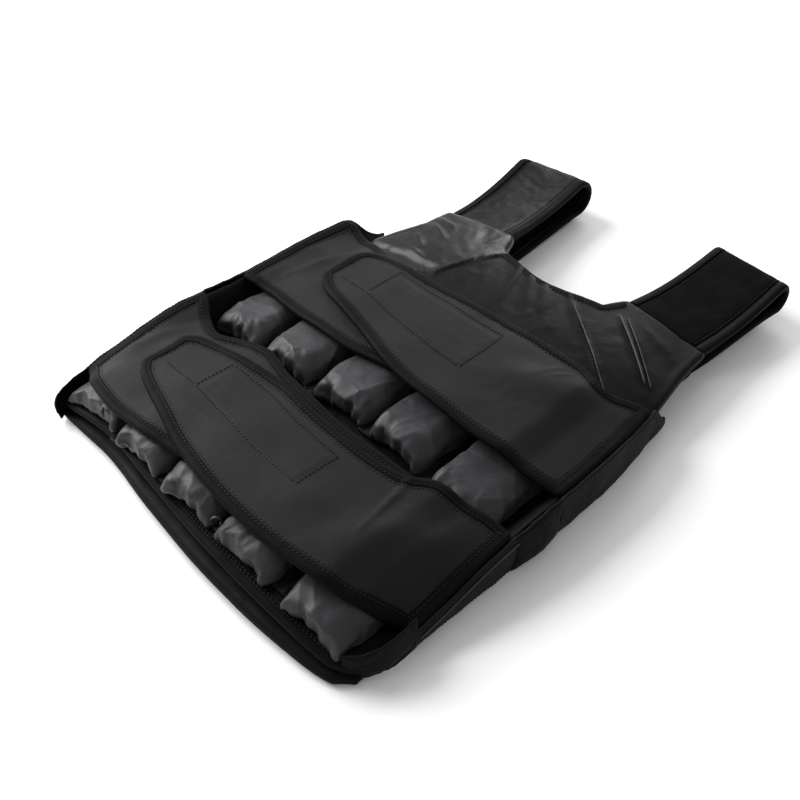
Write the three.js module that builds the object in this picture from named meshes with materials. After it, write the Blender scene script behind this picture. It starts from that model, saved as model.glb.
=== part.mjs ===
// A weighted training vest lying on its back, closed by four neoprene wraps over two rows of weight pouches.
// Millimetres. +X is to the right as the front is seen, +Y runs from hem to shoulders, +Z is up off the floor.
// The layers stand on each other: back panel, torso hollow, front panel, pouches, under wraps, over wraps.
import * as THREE from "three";

// Body
const BODY_WIDTH = 368;
const BODY_LENGTH = 418; // hem to strap seams
const BACK_THICKNESS = 15;
const BACK_EDGE_THICKNESS = 8; // padding thins out towards the sides
const BACK_INSET = 6; // back panel's sides inside the wraps' side seams
const BACK_RIM_ROUND = 4;
const BACK_TOP_RISE = 14; // how far the back panel runs above the front strap seams
const HEM_DROP = 15; // lowest point of the hem below the first pouches
const FRONT_THICKNESS = 6;
const YOKE_PADDING = 3; // extra loft of the padded chest above the wraps
const FRONT_INSET = 5; // front panel's edge inside the back panel's
const CROWN = 14; // how far the front panel arches over the torso hollow
const CHEST_LIFT = 24; // how far the chest stands above the back panel's edges
const ARMHOLE_DEPTH = 31; // how far the body narrows from the wraps to the strap seams
const YOKE_SHIFT = 8; // how far the yoke lies to the right of the body's middle at the strap seams
const HEM_FLARE = 16; // how far the front panel's lower left corner stands out

// Neck
const NECK_WIDTH = 139;
const NECK_DROP = 31; // neckline below the strap seams
const NECK_CORNER = 13; // width of the neckline's turn up to each strap
const NECK_CORNER_DROP = 0.6; // share of the drop that lies in that turn

// Weight pouches
const POUCH_PITCH = 67;
const POUCH_WIDTH = 59;
const POUCH_LENGTH = 100;
const POUCH_RISE = 22;
const POUCH_PLAY = 0.8; // slack between a pouch and the wrap over it
const POUCH_EDGE = 0.34; // height of a pouch's rim, in shares of its middle
const POUCH_PINCH = 4; // how far its gathered ends draw in
const LOWER_ROW_AT = 5;
const UPPER_ROW_AT = 147;

// Wraps
const WRAP_THICKNESS = 3.6;
const WRAP_WIDTH = 116; // lower edge to upper edge at the middle
const LOWER_WRAP_AT = 8; // lower wrap's edge at the middle
const UPPER_WRAP_AT = 187;
const UNDER_WRAP_REACH = 112; // under wraps' ends, right of the middle
const LOWER_TAB_REACH = 137; // tab tips, left of the middle
const UPPER_TAB_REACH = 125;
const TAB_PLAY = 1; // slack between an over wrap and the wrap under it
const TAB_CLEAR = 16; // run past the under wrap's end before the over wrap comes down
const TAB_SETTLE = 24; // run in which it comes down
const SIDE_FALL = 20; // how far a wrap can drop from the last pouch to its side seam

// Straps
const STRAP_REACH = 153; // strap seams to shoulder fold
const LEFT_STRAP_REACH = STRAP_REACH + 4;
const RIGHT_STRAP_REACH = STRAP_REACH - 2;
const STRAP_THICKNESS = 6;
const STRAP_FOLD_HEIGHT = 32; // from the floor to the upper layer at the fold, less the two layers
const LEFT_STRAP_LIFT = 5; // of the lower layer off the floor at the fold
const RIGHT_STRAP_LIFT = 14;
const STRAP_SAG = 5; // how far the upper layer sinks between seam and fold
const LEFT_STRAP_WIDTH = 77;
const RIGHT_STRAP_WIDTH = 80;
const STRAP_BACK_WIDTH = 68; // where the straps meet the back panel
const LEFT_STRAP_LEAN = THREE.MathUtils.degToRad(-9);
const RIGHT_STRAP_LEAN = THREE.MathUtils.degToRad(-1);
const LEFT_FOLD_TURN = THREE.MathUtils.degToRad(7); // of the shoulder fold, seen from above
const RIGHT_FOLD_TURN = THREE.MathUtils.degToRad(-6);

// Trim and sides
const BINDING_WIDTH = 9;
const BINDING_PROUD = 0.4; // how far a binding stands above and below the cloth that it edges
const SIDE_THICKNESS = 2.4;
const SIDE_FLOOR_GAP = 1.5; // under the lower edge of the elastic sides
const SIDE_BELLY = 1.5; // how far the elastic sides swell outwards
const SIDE_TUCK = 4; // how far the sides turn in under at the floor
const RIB_DEPTH = 0.5;
const RIB_COUNT = 6;
const GUSSET_BELLY = 7; // the soft cloth between two elastic sides
const LEFT_ARMHOLE_TAIL = 46; // elastic left above the upper wrap's side seam
const RIGHT_ARMHOLE_TAIL = 26;
const ARMHOLE_TAIL_HEIGHT = 18;
const SEAM_GAP = 0.4; // between one piece and the next beside it
const LAYER_GAP = 0.6; // between one layer's trim and the layer above it

const HALF_WIDTH = BODY_WIDTH / 2;
const BACK_HALF = HALF_WIDTH - BACK_INSET;
const FRONT_HALF = HALF_WIDTH - FRONT_INSET;
const SEAM_HALF = FRONT_HALF - ARMHOLE_DEPTH; // front panel's half width at the strap seams
const NECK_LEFT = YOKE_SHIFT - NECK_WIDTH / 2;
const NECK_RIGHT = YOKE_SHIFT + NECK_WIDTH / 2;

const { clamp, lerp, smoothstep } = THREE.MathUtils;

// The body from hem to strap seams: arch of the front panel, lift of its edges, share of the pouch height
// that the wraps stand at, narrowing into the armholes, loft of the yoke's padding, flare of the lower left
// corner, shift of the yoke to the right, and how far the wraps fall to their left and right side seams, where
// less than nothing is a wrap that stands off.
const BODY_SECTIONS = [
  { at: -0.05, crown: 0.62, lift: 0.0, load: 0.62, narrow: -0.15, loft: 0.0,
    flare: 1.0, shift: 0.0, fallLeft: 0.5, fallRight: 1.3 },
  { at: 0.01, crown: 0.7, lift: 0.0, load: 0.82, narrow: -0.1, loft: 0.0,
    flare: 0.85, shift: 0.0, fallLeft: 0.48, fallRight: 1.3 },
  { at: 0.05, crown: 0.74, lift: 0.0, load: 0.9, narrow: 0.0, loft: 0.0,
    flare: 0.0, shift: 0.0, fallLeft: 0.45, fallRight: 1.25 },
  { at: 0.14, crown: 0.88, lift: 0.0, load: 1.0, narrow: 0.0, loft: 0.0,
    flare: 0.0, shift: 0.0, fallLeft: 0.1, fallRight: 1.05 },
  { at: 0.32, crown: 0.93, lift: 0.01, load: 0.95, narrow: 0.0, loft: 0.0,
    flare: 0.0, shift: 0.0, fallLeft: -0.6, fallRight: 0.2 },
  { at: 0.45, crown: 1.0, lift: 0.03, load: 1.0, narrow: 0.0, loft: 0.0,
    flare: 0.0, shift: 0.0, fallLeft: -0.45, fallRight: 0.0 },
  { at: 0.61, crown: 1.0, lift: 0.12, load: 1.0, narrow: 0.06, loft: 0.0,
    flare: 0.0, shift: 0.0, fallLeft: -0.5, fallRight: 0.0 },
  { at: 0.76, crown: 0.85, lift: 0.5, load: 0.4, narrow: 0.32, loft: 0.7,
    flare: 0.0, shift: 0.1, fallLeft: -0.6, fallRight: 0.1 },
  { at: 0.86, crown: 0.65, lift: 0.8, load: 0.0, narrow: 0.64, loft: 1.0,
    flare: 0.0, shift: 0.5, fallLeft: 0.0, fallRight: 0.0 },
  { at: 0.94, crown: 0.54, lift: 0.93, load: 0.0, narrow: 0.93, loft: 0.95,
    flare: 0.0, shift: 0.95, fallLeft: 0.0, fallRight: 0.0 },
  { at: 1.0, crown: 0.45, lift: 1.0, load: 0.0, narrow: 1.0, loft: 0.8,
    flare: 0.0, shift: 1.0, fallLeft: 0.0, fallRight: 0.0 },
];

// The hem from left to right: place and rise above its lowest point, in shares of the half width.
const HEM_SECTIONS = [
  { at: -1.14, rise: 0.19 },
  { at: -1.08, rise: 0.125 },
  { at: -1.0, rise: 0.1 },
  { at: -0.7, rise: 0.105 },
  { at: -0.22, rise: 0.05 },
  { at: 0.19, rise: 0.01 },
  { at: 0.5, rise: 0.0 },
  { at: 0.79, rise: 0.01 },
  { at: 0.93, rise: 0.03 },
  { at: 1.0, rise: 0.09 },
];

// Outline of each wrap from its side seam (0) to its free end (1), its edges in shares of the wrap width.
const LOWER_UNDER_OUTLINE = [
  { at: 0.0, lower: 0.22, upper: 1.28 },
  { at: 0.1, lower: 0.11, upper: 1.14 },
  { at: 0.2, lower: 0.055, upper: 1.04 },
  { at: 0.27, lower: 0.035, upper: 1.11 },
  { at: 0.37, lower: 0.035, upper: 1.15 },
  { at: 0.5, lower: 0.075, upper: 1.07 },
  { at: 0.8, lower: 0.16, upper: 1.0 },
  { at: 1.0, lower: 0.22, upper: 1.03 },
];
const UPPER_UNDER_OUTLINE = [
  { at: 0.0, lower: 0.08, upper: 1.22 },
  { at: 0.09, lower: 0.1, upper: 1.17 },
  { at: 0.2, lower: 0.05, upper: 1.1 },
  { at: 0.32, lower: 0.01, upper: 0.93 },
  { at: 0.5, lower: -0.01, upper: 0.9 },
  { at: 0.64, lower: 0.04, upper: 0.9 },
  { at: 1.0, lower: 0.12, upper: 0.92 },
];
const LOWER_OVER_OUTLINE = [
  { at: 0.0, lower: 0.36, upper: 1.22 },
  { at: 0.06, lower: 0.22, upper: 1.2 },
  { at: 0.11, lower: 0.12, upper: 1.15 },
  { at: 0.19, lower: 0.055, upper: 1.09 },
  { at: 0.25, lower: 0.03, upper: 0.96 },
  { at: 0.38, lower: 0.0, upper: 0.91 },
  { at: 0.52, lower: 0.02, upper: 0.92 },
  { at: 0.67, lower: 0.095, upper: 0.96 },
  { at: 0.82, lower: 0.22, upper: 0.94 },
  { at: 0.96, lower: 0.36, upper: 0.89 },
  { at: 1.0, lower: 0.44, upper: 0.82 },
];
const UPPER_OVER_OUTLINE = [
  { at: 0.0, lower: 0.1, upper: 1.2 },
  { at: 0.07, lower: 0.06, upper: 1.1 },
  { at: 0.13, lower: 0.03, upper: 1.0 },
  { at: 0.2, lower: 0.0, upper: 1.05 },
  { at: 0.3, lower: -0.02, upper: 1.02 },
  { at: 0.45, lower: -0.01, upper: 0.99 },
  { at: 0.56, lower: 0.03, upper: 0.97 },
  { at: 0.72, lower: 0.16, upper: 0.95 },
  { at: 0.92, lower: 0.32, upper: 0.97 },
  { at: 0.98, lower: 0.42, upper: 0.92 },
  { at: 1.0, lower: 0.47, upper: 0.84 },
];

// Ridges that stand up on a layer. Ends are x in shares of the front's half width and y in shares of the
// body length on the chest, of the wrap width on a wrap. Spread and height are in shares of FOLD_SIZE.
const FOLD_SIZE = 10;
const CHEST_WELTS = [
  { x0: 0.27, y0: 0.905, x1: 0.78, y1: 0.75, spread: 0.7, height: 0.24 },
  { x0: 0.47, y0: 0.945, x1: 0.82, y1: 0.85, spread: 0.7, height: 0.3 },
  { x0: -0.29, y0: 0.75, x1: -0.42, y1: 0.97, spread: 1.4, height: 0.32 },
  { x0: -0.78, y0: 0.86, x1: -0.45, y1: 0.97, spread: 1.1, height: 0.22 },
];
const LOWER_WRAP_FOLDS = [
  { x0: 0.6, y0: 0.26, x1: 0.98, y1: 0.97, spread: 2.4, height: 0.34 },
  { x0: 0.67, y0: 0.47, x1: 0.61, y1: 1.03, spread: 0.7, height: 0.16 },
  { x0: -0.95, y0: 0.62, x1: -0.62, y1: 0.98, spread: 1.2, height: 0.3 },
];
const UPPER_WRAP_FOLDS = [
  { x0: 0.42, y0: 0.52, x1: 0.9, y1: 0.96, spread: 2.2, height: 0.32 },
  { x0: 0.55, y0: 0.7, x1: 0.6, y1: 0.9, spread: 0.7, height: 0.16 },
  { x0: -0.92, y0: 0.3, x1: -0.66, y1: 0.95, spread: 1.2, height: 0.3 },
];

// How each pouch lies in its place: shifts in shares of the pitch, turn in degrees, shares of its width and height.
const LOWER_ROW_POSES = [
  { across: -0.05, along: 0.08, turn: 1, wide: 1.05, full: 0.96 },
  { across: 0.01, along: 0.0, turn: -1, wide: 1.0, full: 1.0 },
  { across: -0.02, along: -0.05, turn: 1, wide: 1.0, full: 0.97 },
  { across: 0.01, along: -0.08, turn: -1, wide: 1.0, full: 1.0 },
  { across: 0.08, along: -0.1, turn: 1, wide: 1.0, full: 0.94 },
];
const UPPER_ROW_POSES = [
  { across: -0.05, along: 0.08, turn: 1, wide: 1.0, full: 0.97 },
  { across: 0.0, along: 0.05, turn: -1, wide: 1.0, full: 1.0 },
  { across: -0.01, along: 0.03, turn: 1, wide: 1.0, full: 1.0 },
  { across: -0.03, along: 0.01, turn: -1, wide: 1.0, full: 0.96 },
  { across: -0.02, along: -0.07, turn: 1, wide: 1.0, full: 0.98 },
];

const MATERIALS = {
  neoprene: new THREE.MeshStandardMaterial({ color: 0x2b2b2e, roughness: 0.75, metalness: 0 }),
  nylon: new THREE.MeshStandardMaterial({ color: 0x333337, roughness: 0.42, metalness: 0 }),
  pouchNylon: new THREE.MeshStandardMaterial({ color: 0x5c5c60, roughness: 0.4, metalness: 0 }),
  binding: new THREE.MeshStandardMaterial({ color: 0x19191b, roughness: 0.7, metalness: 0 }),
  elastic: new THREE.MeshStandardMaterial({ color: 0x222225, roughness: 0.85, metalness: 0 }),
};

// One column of a table at a place along it, eased from row to row without overshoot.
function along(table, at, column) {
  const last = table.length - 1;
  if (at <= table[0].at) return table[0][column];
  if (at >= table[last].at) return table[last][column];
  const next = table.findIndex((row) => row.at > at);
  const from = table[next - 1];
  const to = table[next];
  const slope = (a, b) => (b.at > a.at ? (b[column] - a[column]) / (b.at - a.at) : 0);
  const steady = (a, b) => (a * b > 0 ? (2 * a * b) / (a + b) : 0);
  const here = slope(from, to);
  const span = to.at - from.at;
  const leave = steady(slope(table[Math.max(next - 2, 0)], from), here) * span;
  const arrive = steady(here, slope(to, table[Math.min(next + 1, last)])) * span;
  const rise = to[column] - from[column];
  const t = (at - from.at) / span;
  return from[column] + t * (leave + t * (3 * rise - 2 * leave - arrive + t * (leave + arrive - 2 * rise)));
}

// Height of a table's ridges at a point, each one a rounded welt that fades out towards its two ends.
function ridges(table, x, y, length, startY) {
  return table.reduce((height, fold) => {
    const from = new THREE.Vector2(fold.x0 * FRONT_HALF, startY + fold.y0 * length);
    const run = new THREE.Vector2(fold.x1 * FRONT_HALF, startY + fold.y1 * length).sub(from);
    const point = new THREE.Vector2(x, y).sub(from);
    const share = clamp(point.dot(run) / run.lengthSq(), 0, 1);
    const away = point.sub(run.multiplyScalar(share)).length() / (fold.spread * FOLD_SIZE);
    const fade = Math.sin(Math.PI * lerp(0.1, 0.9, share));
    return height + fold.height * FOLD_SIZE * Math.exp(-away * away) * fade;
  }, 0);
}

// Heights of the layers over the plan, each from the one below it.
const body = (y, column) => along(BODY_SECTIONS, y / BODY_LENGTH, column);
const narrowing = (y) => ARMHOLE_DEPTH * body(y, "narrow");
const yokeShift = (y) => YOKE_SHIFT * body(y, "shift");
const flare = (y) => HEM_FLARE * body(y, "flare");

function backTop(x, y) {
  const outward = Math.min(Math.abs(x) / (BACK_HALF - narrowing(y)), 1);
  return lerp(BACK_THICKNESS, BACK_EDGE_THICKNESS, outward ** 3);
}
function frontUnder(x, y) {
  const half = FRONT_HALF - narrowing(y) + (x < 0 ? flare(y) : 0);
  const outward = Math.min(Math.abs(x - yokeShift(y)) / half, 1);
  const arch = CROWN * body(y, "crown") * (1 - outward ** 2.2);
  return backTop(x, y) + LAYER_GAP + arch + CHEST_LIFT * body(y, "lift");
}
function frontTop(x, y) {
  const padded = FRONT_THICKNESS + YOKE_PADDING * body(y, "loft");
  return frontUnder(x, y) + padded + ridges(CHEST_WELTS, x, y, BODY_LENGTH, 0);
}
const pouchUnder = (x, y) => frontTop(x, y) + BINDING_PROUD + LAYER_GAP;

function pouchRise(x, y) {
  const fall = SIDE_FALL * body(y, x < 0 ? "fallLeft" : "fallRight");
  const outward = smoothstep(Math.abs(x), FRONT_HALF - POUCH_WIDTH / 2, HALF_WIDTH);
  return Math.max(POUCH_RISE * body(y, "load") - fall * outward, 0);
}
const wrapBed = (x, y) => pouchUnder(x, y) + pouchRise(x, y) + POUCH_PLAY + BINDING_PROUD;

function underWrapFace(x, y, wrap) {
  return wrapBed(x, y) + ridges(wrap.folds, x, y, WRAP_WIDTH, wrap.startY);
}
function overWrapFace(x, y, wrap) {
  const step = WRAP_THICKNESS + 2 * BINDING_PROUD + TAB_PLAY;
  const end = UNDER_WRAP_REACH + TAB_CLEAR;
  return underWrapFace(x, y, wrap) + step * (1 - smoothstep(x, end, end + TAB_SETTLE));
}

// A closed slab: a box whose points are laid out by place(u, v, w), each running from 0 to 1.
function slab(columns, rows, layers, place) {
  const geometry = new THREE.BoxGeometry(1, 1, 1, columns, rows, layers);
  const position = geometry.getAttribute("position");
  for (let i = 0; i < position.count; i += 1) {
    const spot = place(position.getX(i) + 0.5, position.getY(i) + 0.5, position.getZ(i) + 0.5);
    position.setXYZ(i, spot.x, spot.y, spot.z);
  }
  geometry.computeVertexNormals();
  return geometry;
}

// A closed ring of rectangular section, laid out by place(step, out, up), with out and up 0 or 1.
function ring(steps, place) {
  const corners = [
    { out: 1, up: 0 },
    { out: 1, up: 1 },
    { out: 0, up: 1 },
    { out: 0, up: 0 },
  ];
  const geometry = new THREE.TorusGeometry(1, 0.25, corners.length, steps);
  const position = geometry.getAttribute("position");
  for (let i = 0; i < position.count; i += 1) {
    const corner = corners[Math.floor(i / (steps + 1)) % corners.length];
    const spot = place((i % (steps + 1)) % steps, corner.out, corner.up);
    position.setXYZ(i, spot.x, spot.y, spot.z);
  }
  geometry.computeVertexNormals();
  return geometry;
}

const vest = new THREE.Group();
vest.position.y = -(BODY_LENGTH + STRAP_REACH) / 2;

function addPiece(name, geometry, material) {
  const mesh = new THREE.Mesh(geometry, material);
  mesh.name = name;
  vest.add(mesh);
}

// Outline shared by both panels: the hem, and the top edge that drops from the strap seams to the neck.
const hemLine = (x, half) => half * along(HEM_SECTIONS, x / half, "rise") - HEM_DROP;
function neckLine(x, drop) {
  const away = Math.min(x - NECK_LEFT, NECK_RIGHT - x);
  const corner = smoothstep(away, 0, NECK_CORNER);
  return BODY_LENGTH - drop * lerp(smoothstep(away, 0, NECK_WIDTH / 2), corner, NECK_CORNER_DROP);
}

// Back panel: padded, flat underneath, with a rounded rim.
function backPanel() {
  const top = BODY_LENGTH + BACK_TOP_RISE;
  return slab(14, 14, 2, (u, v, w) => {
    const inset = w === 0.5 ? 0 : BACK_RIM_ROUND;
    const half = BACK_HALF - narrowing(v * top) - inset;
    const x = lerp(-half, half, u);
    const lowest = hemLine(x, BACK_HALF) + inset;
    const highest = neckLine(x, NECK_DROP) + BACK_TOP_RISE - inset;
    const y = lerp(lowest, highest, v);
    return new THREE.Vector3(x, y, backTop(x, y) * w);
  });
}
addPiece("back_panel", backPanel(), MATERIALS.nylon);

// Front panel: its columns are spread so that each strap seam and the neckline start on one of them.
const FRONT_COLUMNS = 20;
const NECK_COLUMNS = 10;
const NECK_FROM = (FRONT_COLUMNS - NECK_COLUMNS) / 2 / FRONT_COLUMNS;
const NECK_TO = 1 - NECK_FROM;
function frontAcross(u, y) {
  const half = FRONT_HALF - narrowing(y);
  const neck = (half / SEAM_HALF) * (NECK_WIDTH / 2);
  if (u < NECK_FROM) return yokeShift(y) - lerp(half + flare(y), neck, u / NECK_FROM);
  if (u > NECK_TO) return yokeShift(y) + lerp(neck, half, (u - NECK_TO) / (1 - NECK_TO));
  return yokeShift(y) + lerp(-neck, neck, (u - NECK_FROM) / (NECK_TO - NECK_FROM));
}
function frontPanel() {
  return slab(FRONT_COLUMNS, 24, 1, (u, v, w) => {
    const x = frontAcross(u, v * BODY_LENGTH);
    const lowest = hemLine(x, FRONT_HALF) + FRONT_INSET + BINDING_WIDTH;
    const y = lerp(lowest, neckLine(x, NECK_DROP + BINDING_WIDTH), v);
    return new THREE.Vector3(x, y, w === 0 ? frontUnder(x, y) : frontTop(x, y));
  });
}
addPiece("front_panel", frontPanel(), MATERIALS.nylon);

// A binding strip from left to right on the front panel's own columns, above the line lower(x).
function edgeStrip(columns, across, lower) {
  return slab(columns, 1, 1, (u, v, w) => {
    const x = across(u);
    const y = lower(x) + v * (BINDING_WIDTH - SEAM_GAP);
    return new THREE.Vector3(x, y, w === 0 ? frontUnder(x, y) : frontTop(x, y) + BINDING_PROUD);
  });
}
function hemBinding() {
  return edgeStrip(FRONT_COLUMNS, (u) => frontAcross(u, 0), (x) => hemLine(x, FRONT_HALF) + FRONT_INSET);
}
function neckBinding() {
  const end = 2 * SEAM_GAP;
  const across = (u) => clamp(lerp(NECK_LEFT, NECK_RIGHT, u), NECK_LEFT + end, NECK_RIGHT - end);
  return edgeStrip(NECK_COLUMNS, across, (x) => neckLine(x, NECK_DROP + BINDING_WIDTH) + SEAM_GAP);
}
addPiece("hem_binding", hemBinding(), MATERIALS.binding);
addPiece("neck_binding", neckBinding(), MATERIALS.binding);

// Weight pouches: pillows with gathered ends, standing between the front panel and the wraps.
function pouch(centreX, startY, pose) {
  const turn = THREE.MathUtils.degToRad(pose.turn);
  const middle = new THREE.Vector2(
    centreX + pose.across * POUCH_PITCH,
    startY + POUCH_LENGTH / 2 + pose.along * POUCH_PITCH,
  );
  return slab(6, 7, 1, (u, v, w) => {
    const across = 2 * u - 1;
    const end = 2 * v - 1;
    const half = (pose.wide * POUCH_WIDTH) / 2 - POUCH_PINCH * Math.abs(end) ** 5;
    const spot = new THREE.Vector2(across * half, (end * POUCH_LENGTH) / 2);
    spot.rotateAround(new THREE.Vector2(), turn).add(middle);
    const round = Math.sqrt((1 - Math.abs(across) ** 3) * (1 - Math.abs(end) ** 5));
    const gathers = 1 + 0.16 * Math.abs(end) ** 4 * Math.cos(3 * Math.PI * across);
    const share = pose.full * Math.min(lerp(POUCH_EDGE, 1, round) * gathers, 1);
    const height = pouchUnder(spot.x, spot.y) + w * share * pouchRise(spot.x, spot.y);
    return new THREE.Vector3(spot.x, spot.y, height);
  });
}
function addPouchRow(name, startY, poses) {
  poses.forEach((pose, index) => {
    const centreX = (index - (poses.length - 1) / 2) * POUCH_PITCH;
    addPiece(`${name}_${index + 1}`, pouch(centreX, startY, pose), MATERIALS.pouchNylon);
  });
}
addPouchRow("weight_pouch_lower", LOWER_ROW_AT, LOWER_ROW_POSES);
addPouchRow("weight_pouch_upper", UPPER_ROW_AT, UPPER_ROW_POSES);

// Wraps: side is -1 for those from the left, which lie underneath, and 1 for those from the right.
const LOWER_WRAP = { startY: LOWER_WRAP_AT, folds: LOWER_WRAP_FOLDS };
const UPPER_WRAP = { startY: UPPER_WRAP_AT, folds: UPPER_WRAP_FOLDS };
const UNDER = { side: -1, reach: UNDER_WRAP_REACH, face: underWrapFace };
const OVER = { side: 1, face: overWrapFace };
const WRAPS = {
  lower_left: { ...LOWER_WRAP, ...UNDER, outline: LOWER_UNDER_OUTLINE },
  upper_left: { ...UPPER_WRAP, ...UNDER, outline: UPPER_UNDER_OUTLINE },
  lower_right: { ...LOWER_WRAP, ...OVER, outline: LOWER_OVER_OUTLINE, reach: LOWER_TAB_REACH },
  upper_right: { ...UPPER_WRAP, ...OVER, outline: UPPER_OVER_OUTLINE, reach: UPPER_TAB_REACH },
};
const WRAP_COLUMNS = 16;
const WRAP_ROWS = 7;

// Distance of a side seam from the middle: the left ones run straight on, the right ones follow the armhole.
const seamOut = (side, y) => HALF_WIDTH - (side > 0 ? narrowing(y) : 0);

// Plan of a wrap, u from left to right and v from lower to upper edge, drawn in by an inset all round.
function wrapPlan(wrap, u, v, inset) {
  const seam = wrap.side * HALF_WIDTH;
  const tip = -wrap.side * wrap.reach;
  const fromSeam = wrap.side > 0 ? 1 - u : u;
  const x = lerp(seam - wrap.side * inset, tip + wrap.side * inset, fromSeam);
  const at = (x - seam) / (tip - seam);
  const lower = wrap.startY + WRAP_WIDTH * along(wrap.outline, at, "lower") + inset;
  const upper = wrap.startY + WRAP_WIDTH * along(wrap.outline, at, "upper") - inset;
  const y = lerp(lower, upper, v);
  const drawnIn = HALF_WIDTH - seamOut(wrap.side, y);
  return new THREE.Vector2(x - wrap.side * drawnIn * (1 - at), y);
}
function wrapSheet(wrap) {
  const inset = BINDING_WIDTH + SEAM_GAP;
  return slab(WRAP_COLUMNS, WRAP_ROWS, 1, (u, v, w) => {
    const { x, y } = wrapPlan(wrap, u, v, inset);
    return new THREE.Vector3(x, y, wrap.face(x, y, wrap) + w * WRAP_THICKNESS);
  });
}

// Point reached after a number of steps round the edge of the unit square, from its lower left corner.
function squareEdge(step, columns, rows) {
  if (step < columns) return { u: step / columns, v: 0 };
  if (step < columns + rows) return { u: 1, v: (step - columns) / rows };
  if (step < 2 * columns + rows) return { u: 1 - (step - columns - rows) / columns, v: 1 };
  return { u: 0, v: 1 - (step - 2 * columns - rows) / rows };
}
function wrapBinding(wrap) {
  return ring(2 * (WRAP_COLUMNS + WRAP_ROWS), (step, out, up) => {
    const edge = squareEdge(step, WRAP_COLUMNS, WRAP_ROWS);
    const { x, y } = wrapPlan(wrap, edge.u, edge.v, out ? 0 : BINDING_WIDTH);
    const height = up ? WRAP_THICKNESS + BINDING_PROUD : -BINDING_PROUD;
    return new THREE.Vector3(x, y, wrap.face(x, y, wrap) + height);
  });
}
Object.entries(WRAPS).forEach(([name, wrap]) => {
  addPiece(`wrap_${name}`, wrapSheet(wrap), MATERIALS.neoprene);
  addPiece(`wrap_binding_${name}`, wrapBinding(wrap), MATERIALS.binding);
});

// Sides: panels that hang from the wraps' side seams to the floor, outside the back panel.
function sidePanel(side, rows, { from, to, tail, belly, ribs }) {
  return slab(3, rows, 1, (u, v, w) => {
    const y = lerp(from, to + tail, v);
    const out = seamOut(side, y);
    const seamTop = wrapBed(side * out, y) + WRAP_THICKNESS;
    const pastSeam = tail > 0 ? smoothstep(y, to, to + tail) : 0;
    const top = lerp(seamTop, ARMHOLE_TAIL_HEIGHT, pastSeam);
    const swell = belly * (Math.sin(Math.PI * lerp(0, 0.9, u)) + pastSeam);
    const rib = RIB_DEPTH * (1 - Math.cos(2 * Math.PI * ribs * v));
    const layer = side > 0 ? w : 1 - w;
    const x = side * (out + SEAM_GAP + swell + rib - SIDE_TUCK * u * u + layer * SIDE_THICKNESS);
    return new THREE.Vector3(x, y, lerp(top, SIDE_FLOOR_GAP, u));
  });
}
function seamRange(wrap) {
  const edge = wrap.side > 0 ? 1 : 0;
  return { from: wrapPlan(wrap, edge, 0, 0).y, to: wrapPlan(wrap, edge, 1, 0).y };
}
function addSide(name, side) {
  const lower = seamRange(WRAPS[`lower_${name}`]);
  const upper = seamRange(WRAPS[`upper_${name}`]);
  const elastic = { belly: SIDE_BELLY, ribs: RIB_COUNT };
  const tail = side > 0 ? RIGHT_ARMHOLE_TAIL : LEFT_ARMHOLE_TAIL;
  const between = { from: lower.to + SEAM_GAP, to: upper.from - SEAM_GAP, tail: 0 };
  const lowerSide = sidePanel(side, 2 * RIB_COUNT, { ...lower, ...elastic, tail: 0 });
  const upperSide = sidePanel(side, 2 * RIB_COUNT, { ...upper, ...elastic, tail });
  const gusset = sidePanel(side, RIB_COUNT, { ...between, belly: GUSSET_BELLY, ribs: 0 });
  addPiece(`side_elastic_lower_${name}`, lowerSide, MATERIALS.elastic);
  addPiece(`side_elastic_upper_${name}`, upperSide, MATERIALS.elastic);
  addPiece(`side_gusset_${name}`, gusset, MATERIALS.nylon);
}
addSide("left", -1);
addSide("right", 1);

// Shoulder straps: up from the front seam, over at the shoulder fold and back underneath to the back panel.
const UPPER_LAYER_HEIGHT = STRAP_FOLD_HEIGHT + STRAP_THICKNESS * 1.5; // at the fold
const RUN_ROWS = 8;
const FOLD_ROWS = 8;

// Middle line of a strap at a row: place along Y, height, outward direction, and shares run of each layer.
function strapSpine(row, seamHeight, { reach, lift }) {
  const lowerHeight = STRAP_THICKNESS / 2 + lift;
  const radius = (UPPER_LAYER_HEIGHT - lowerHeight) / 2;
  const foldStart = BODY_LENGTH + reach - radius - STRAP_THICKNESS / 2;
  if (row <= RUN_ROWS) {
    const run = row / RUN_ROWS;
    const height = lerp(seamHeight, UPPER_LAYER_HEIGHT, run) - STRAP_SAG * Math.sin(Math.PI * run);
    return { y: lerp(BODY_LENGTH + SEAM_GAP, foldStart, run), height, angle: Math.PI / 2, up: run, down: 0 };
  }
  if (row <= RUN_ROWS + FOLD_ROWS) {
    const angle = Math.PI * (0.5 - (row - RUN_ROWS) / FOLD_ROWS);
    const y = foldStart + radius * Math.cos(angle);
    return { y, height: lowerHeight + radius * (1 + Math.sin(angle)), angle, up: 1, down: 0 };
  }
  const run = (row - RUN_ROWS - FOLD_ROWS) / RUN_ROWS;
  const height = lerp(lowerHeight, BACK_EDGE_THICKNESS / 2, smoothstep(run, 0, 1));
  const end = BODY_LENGTH + BACK_TOP_RISE + SEAM_GAP;
  return { y: lerp(foldStart, end, run), height, angle: -Math.PI / 2, up: 1, down: run };
}

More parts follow.
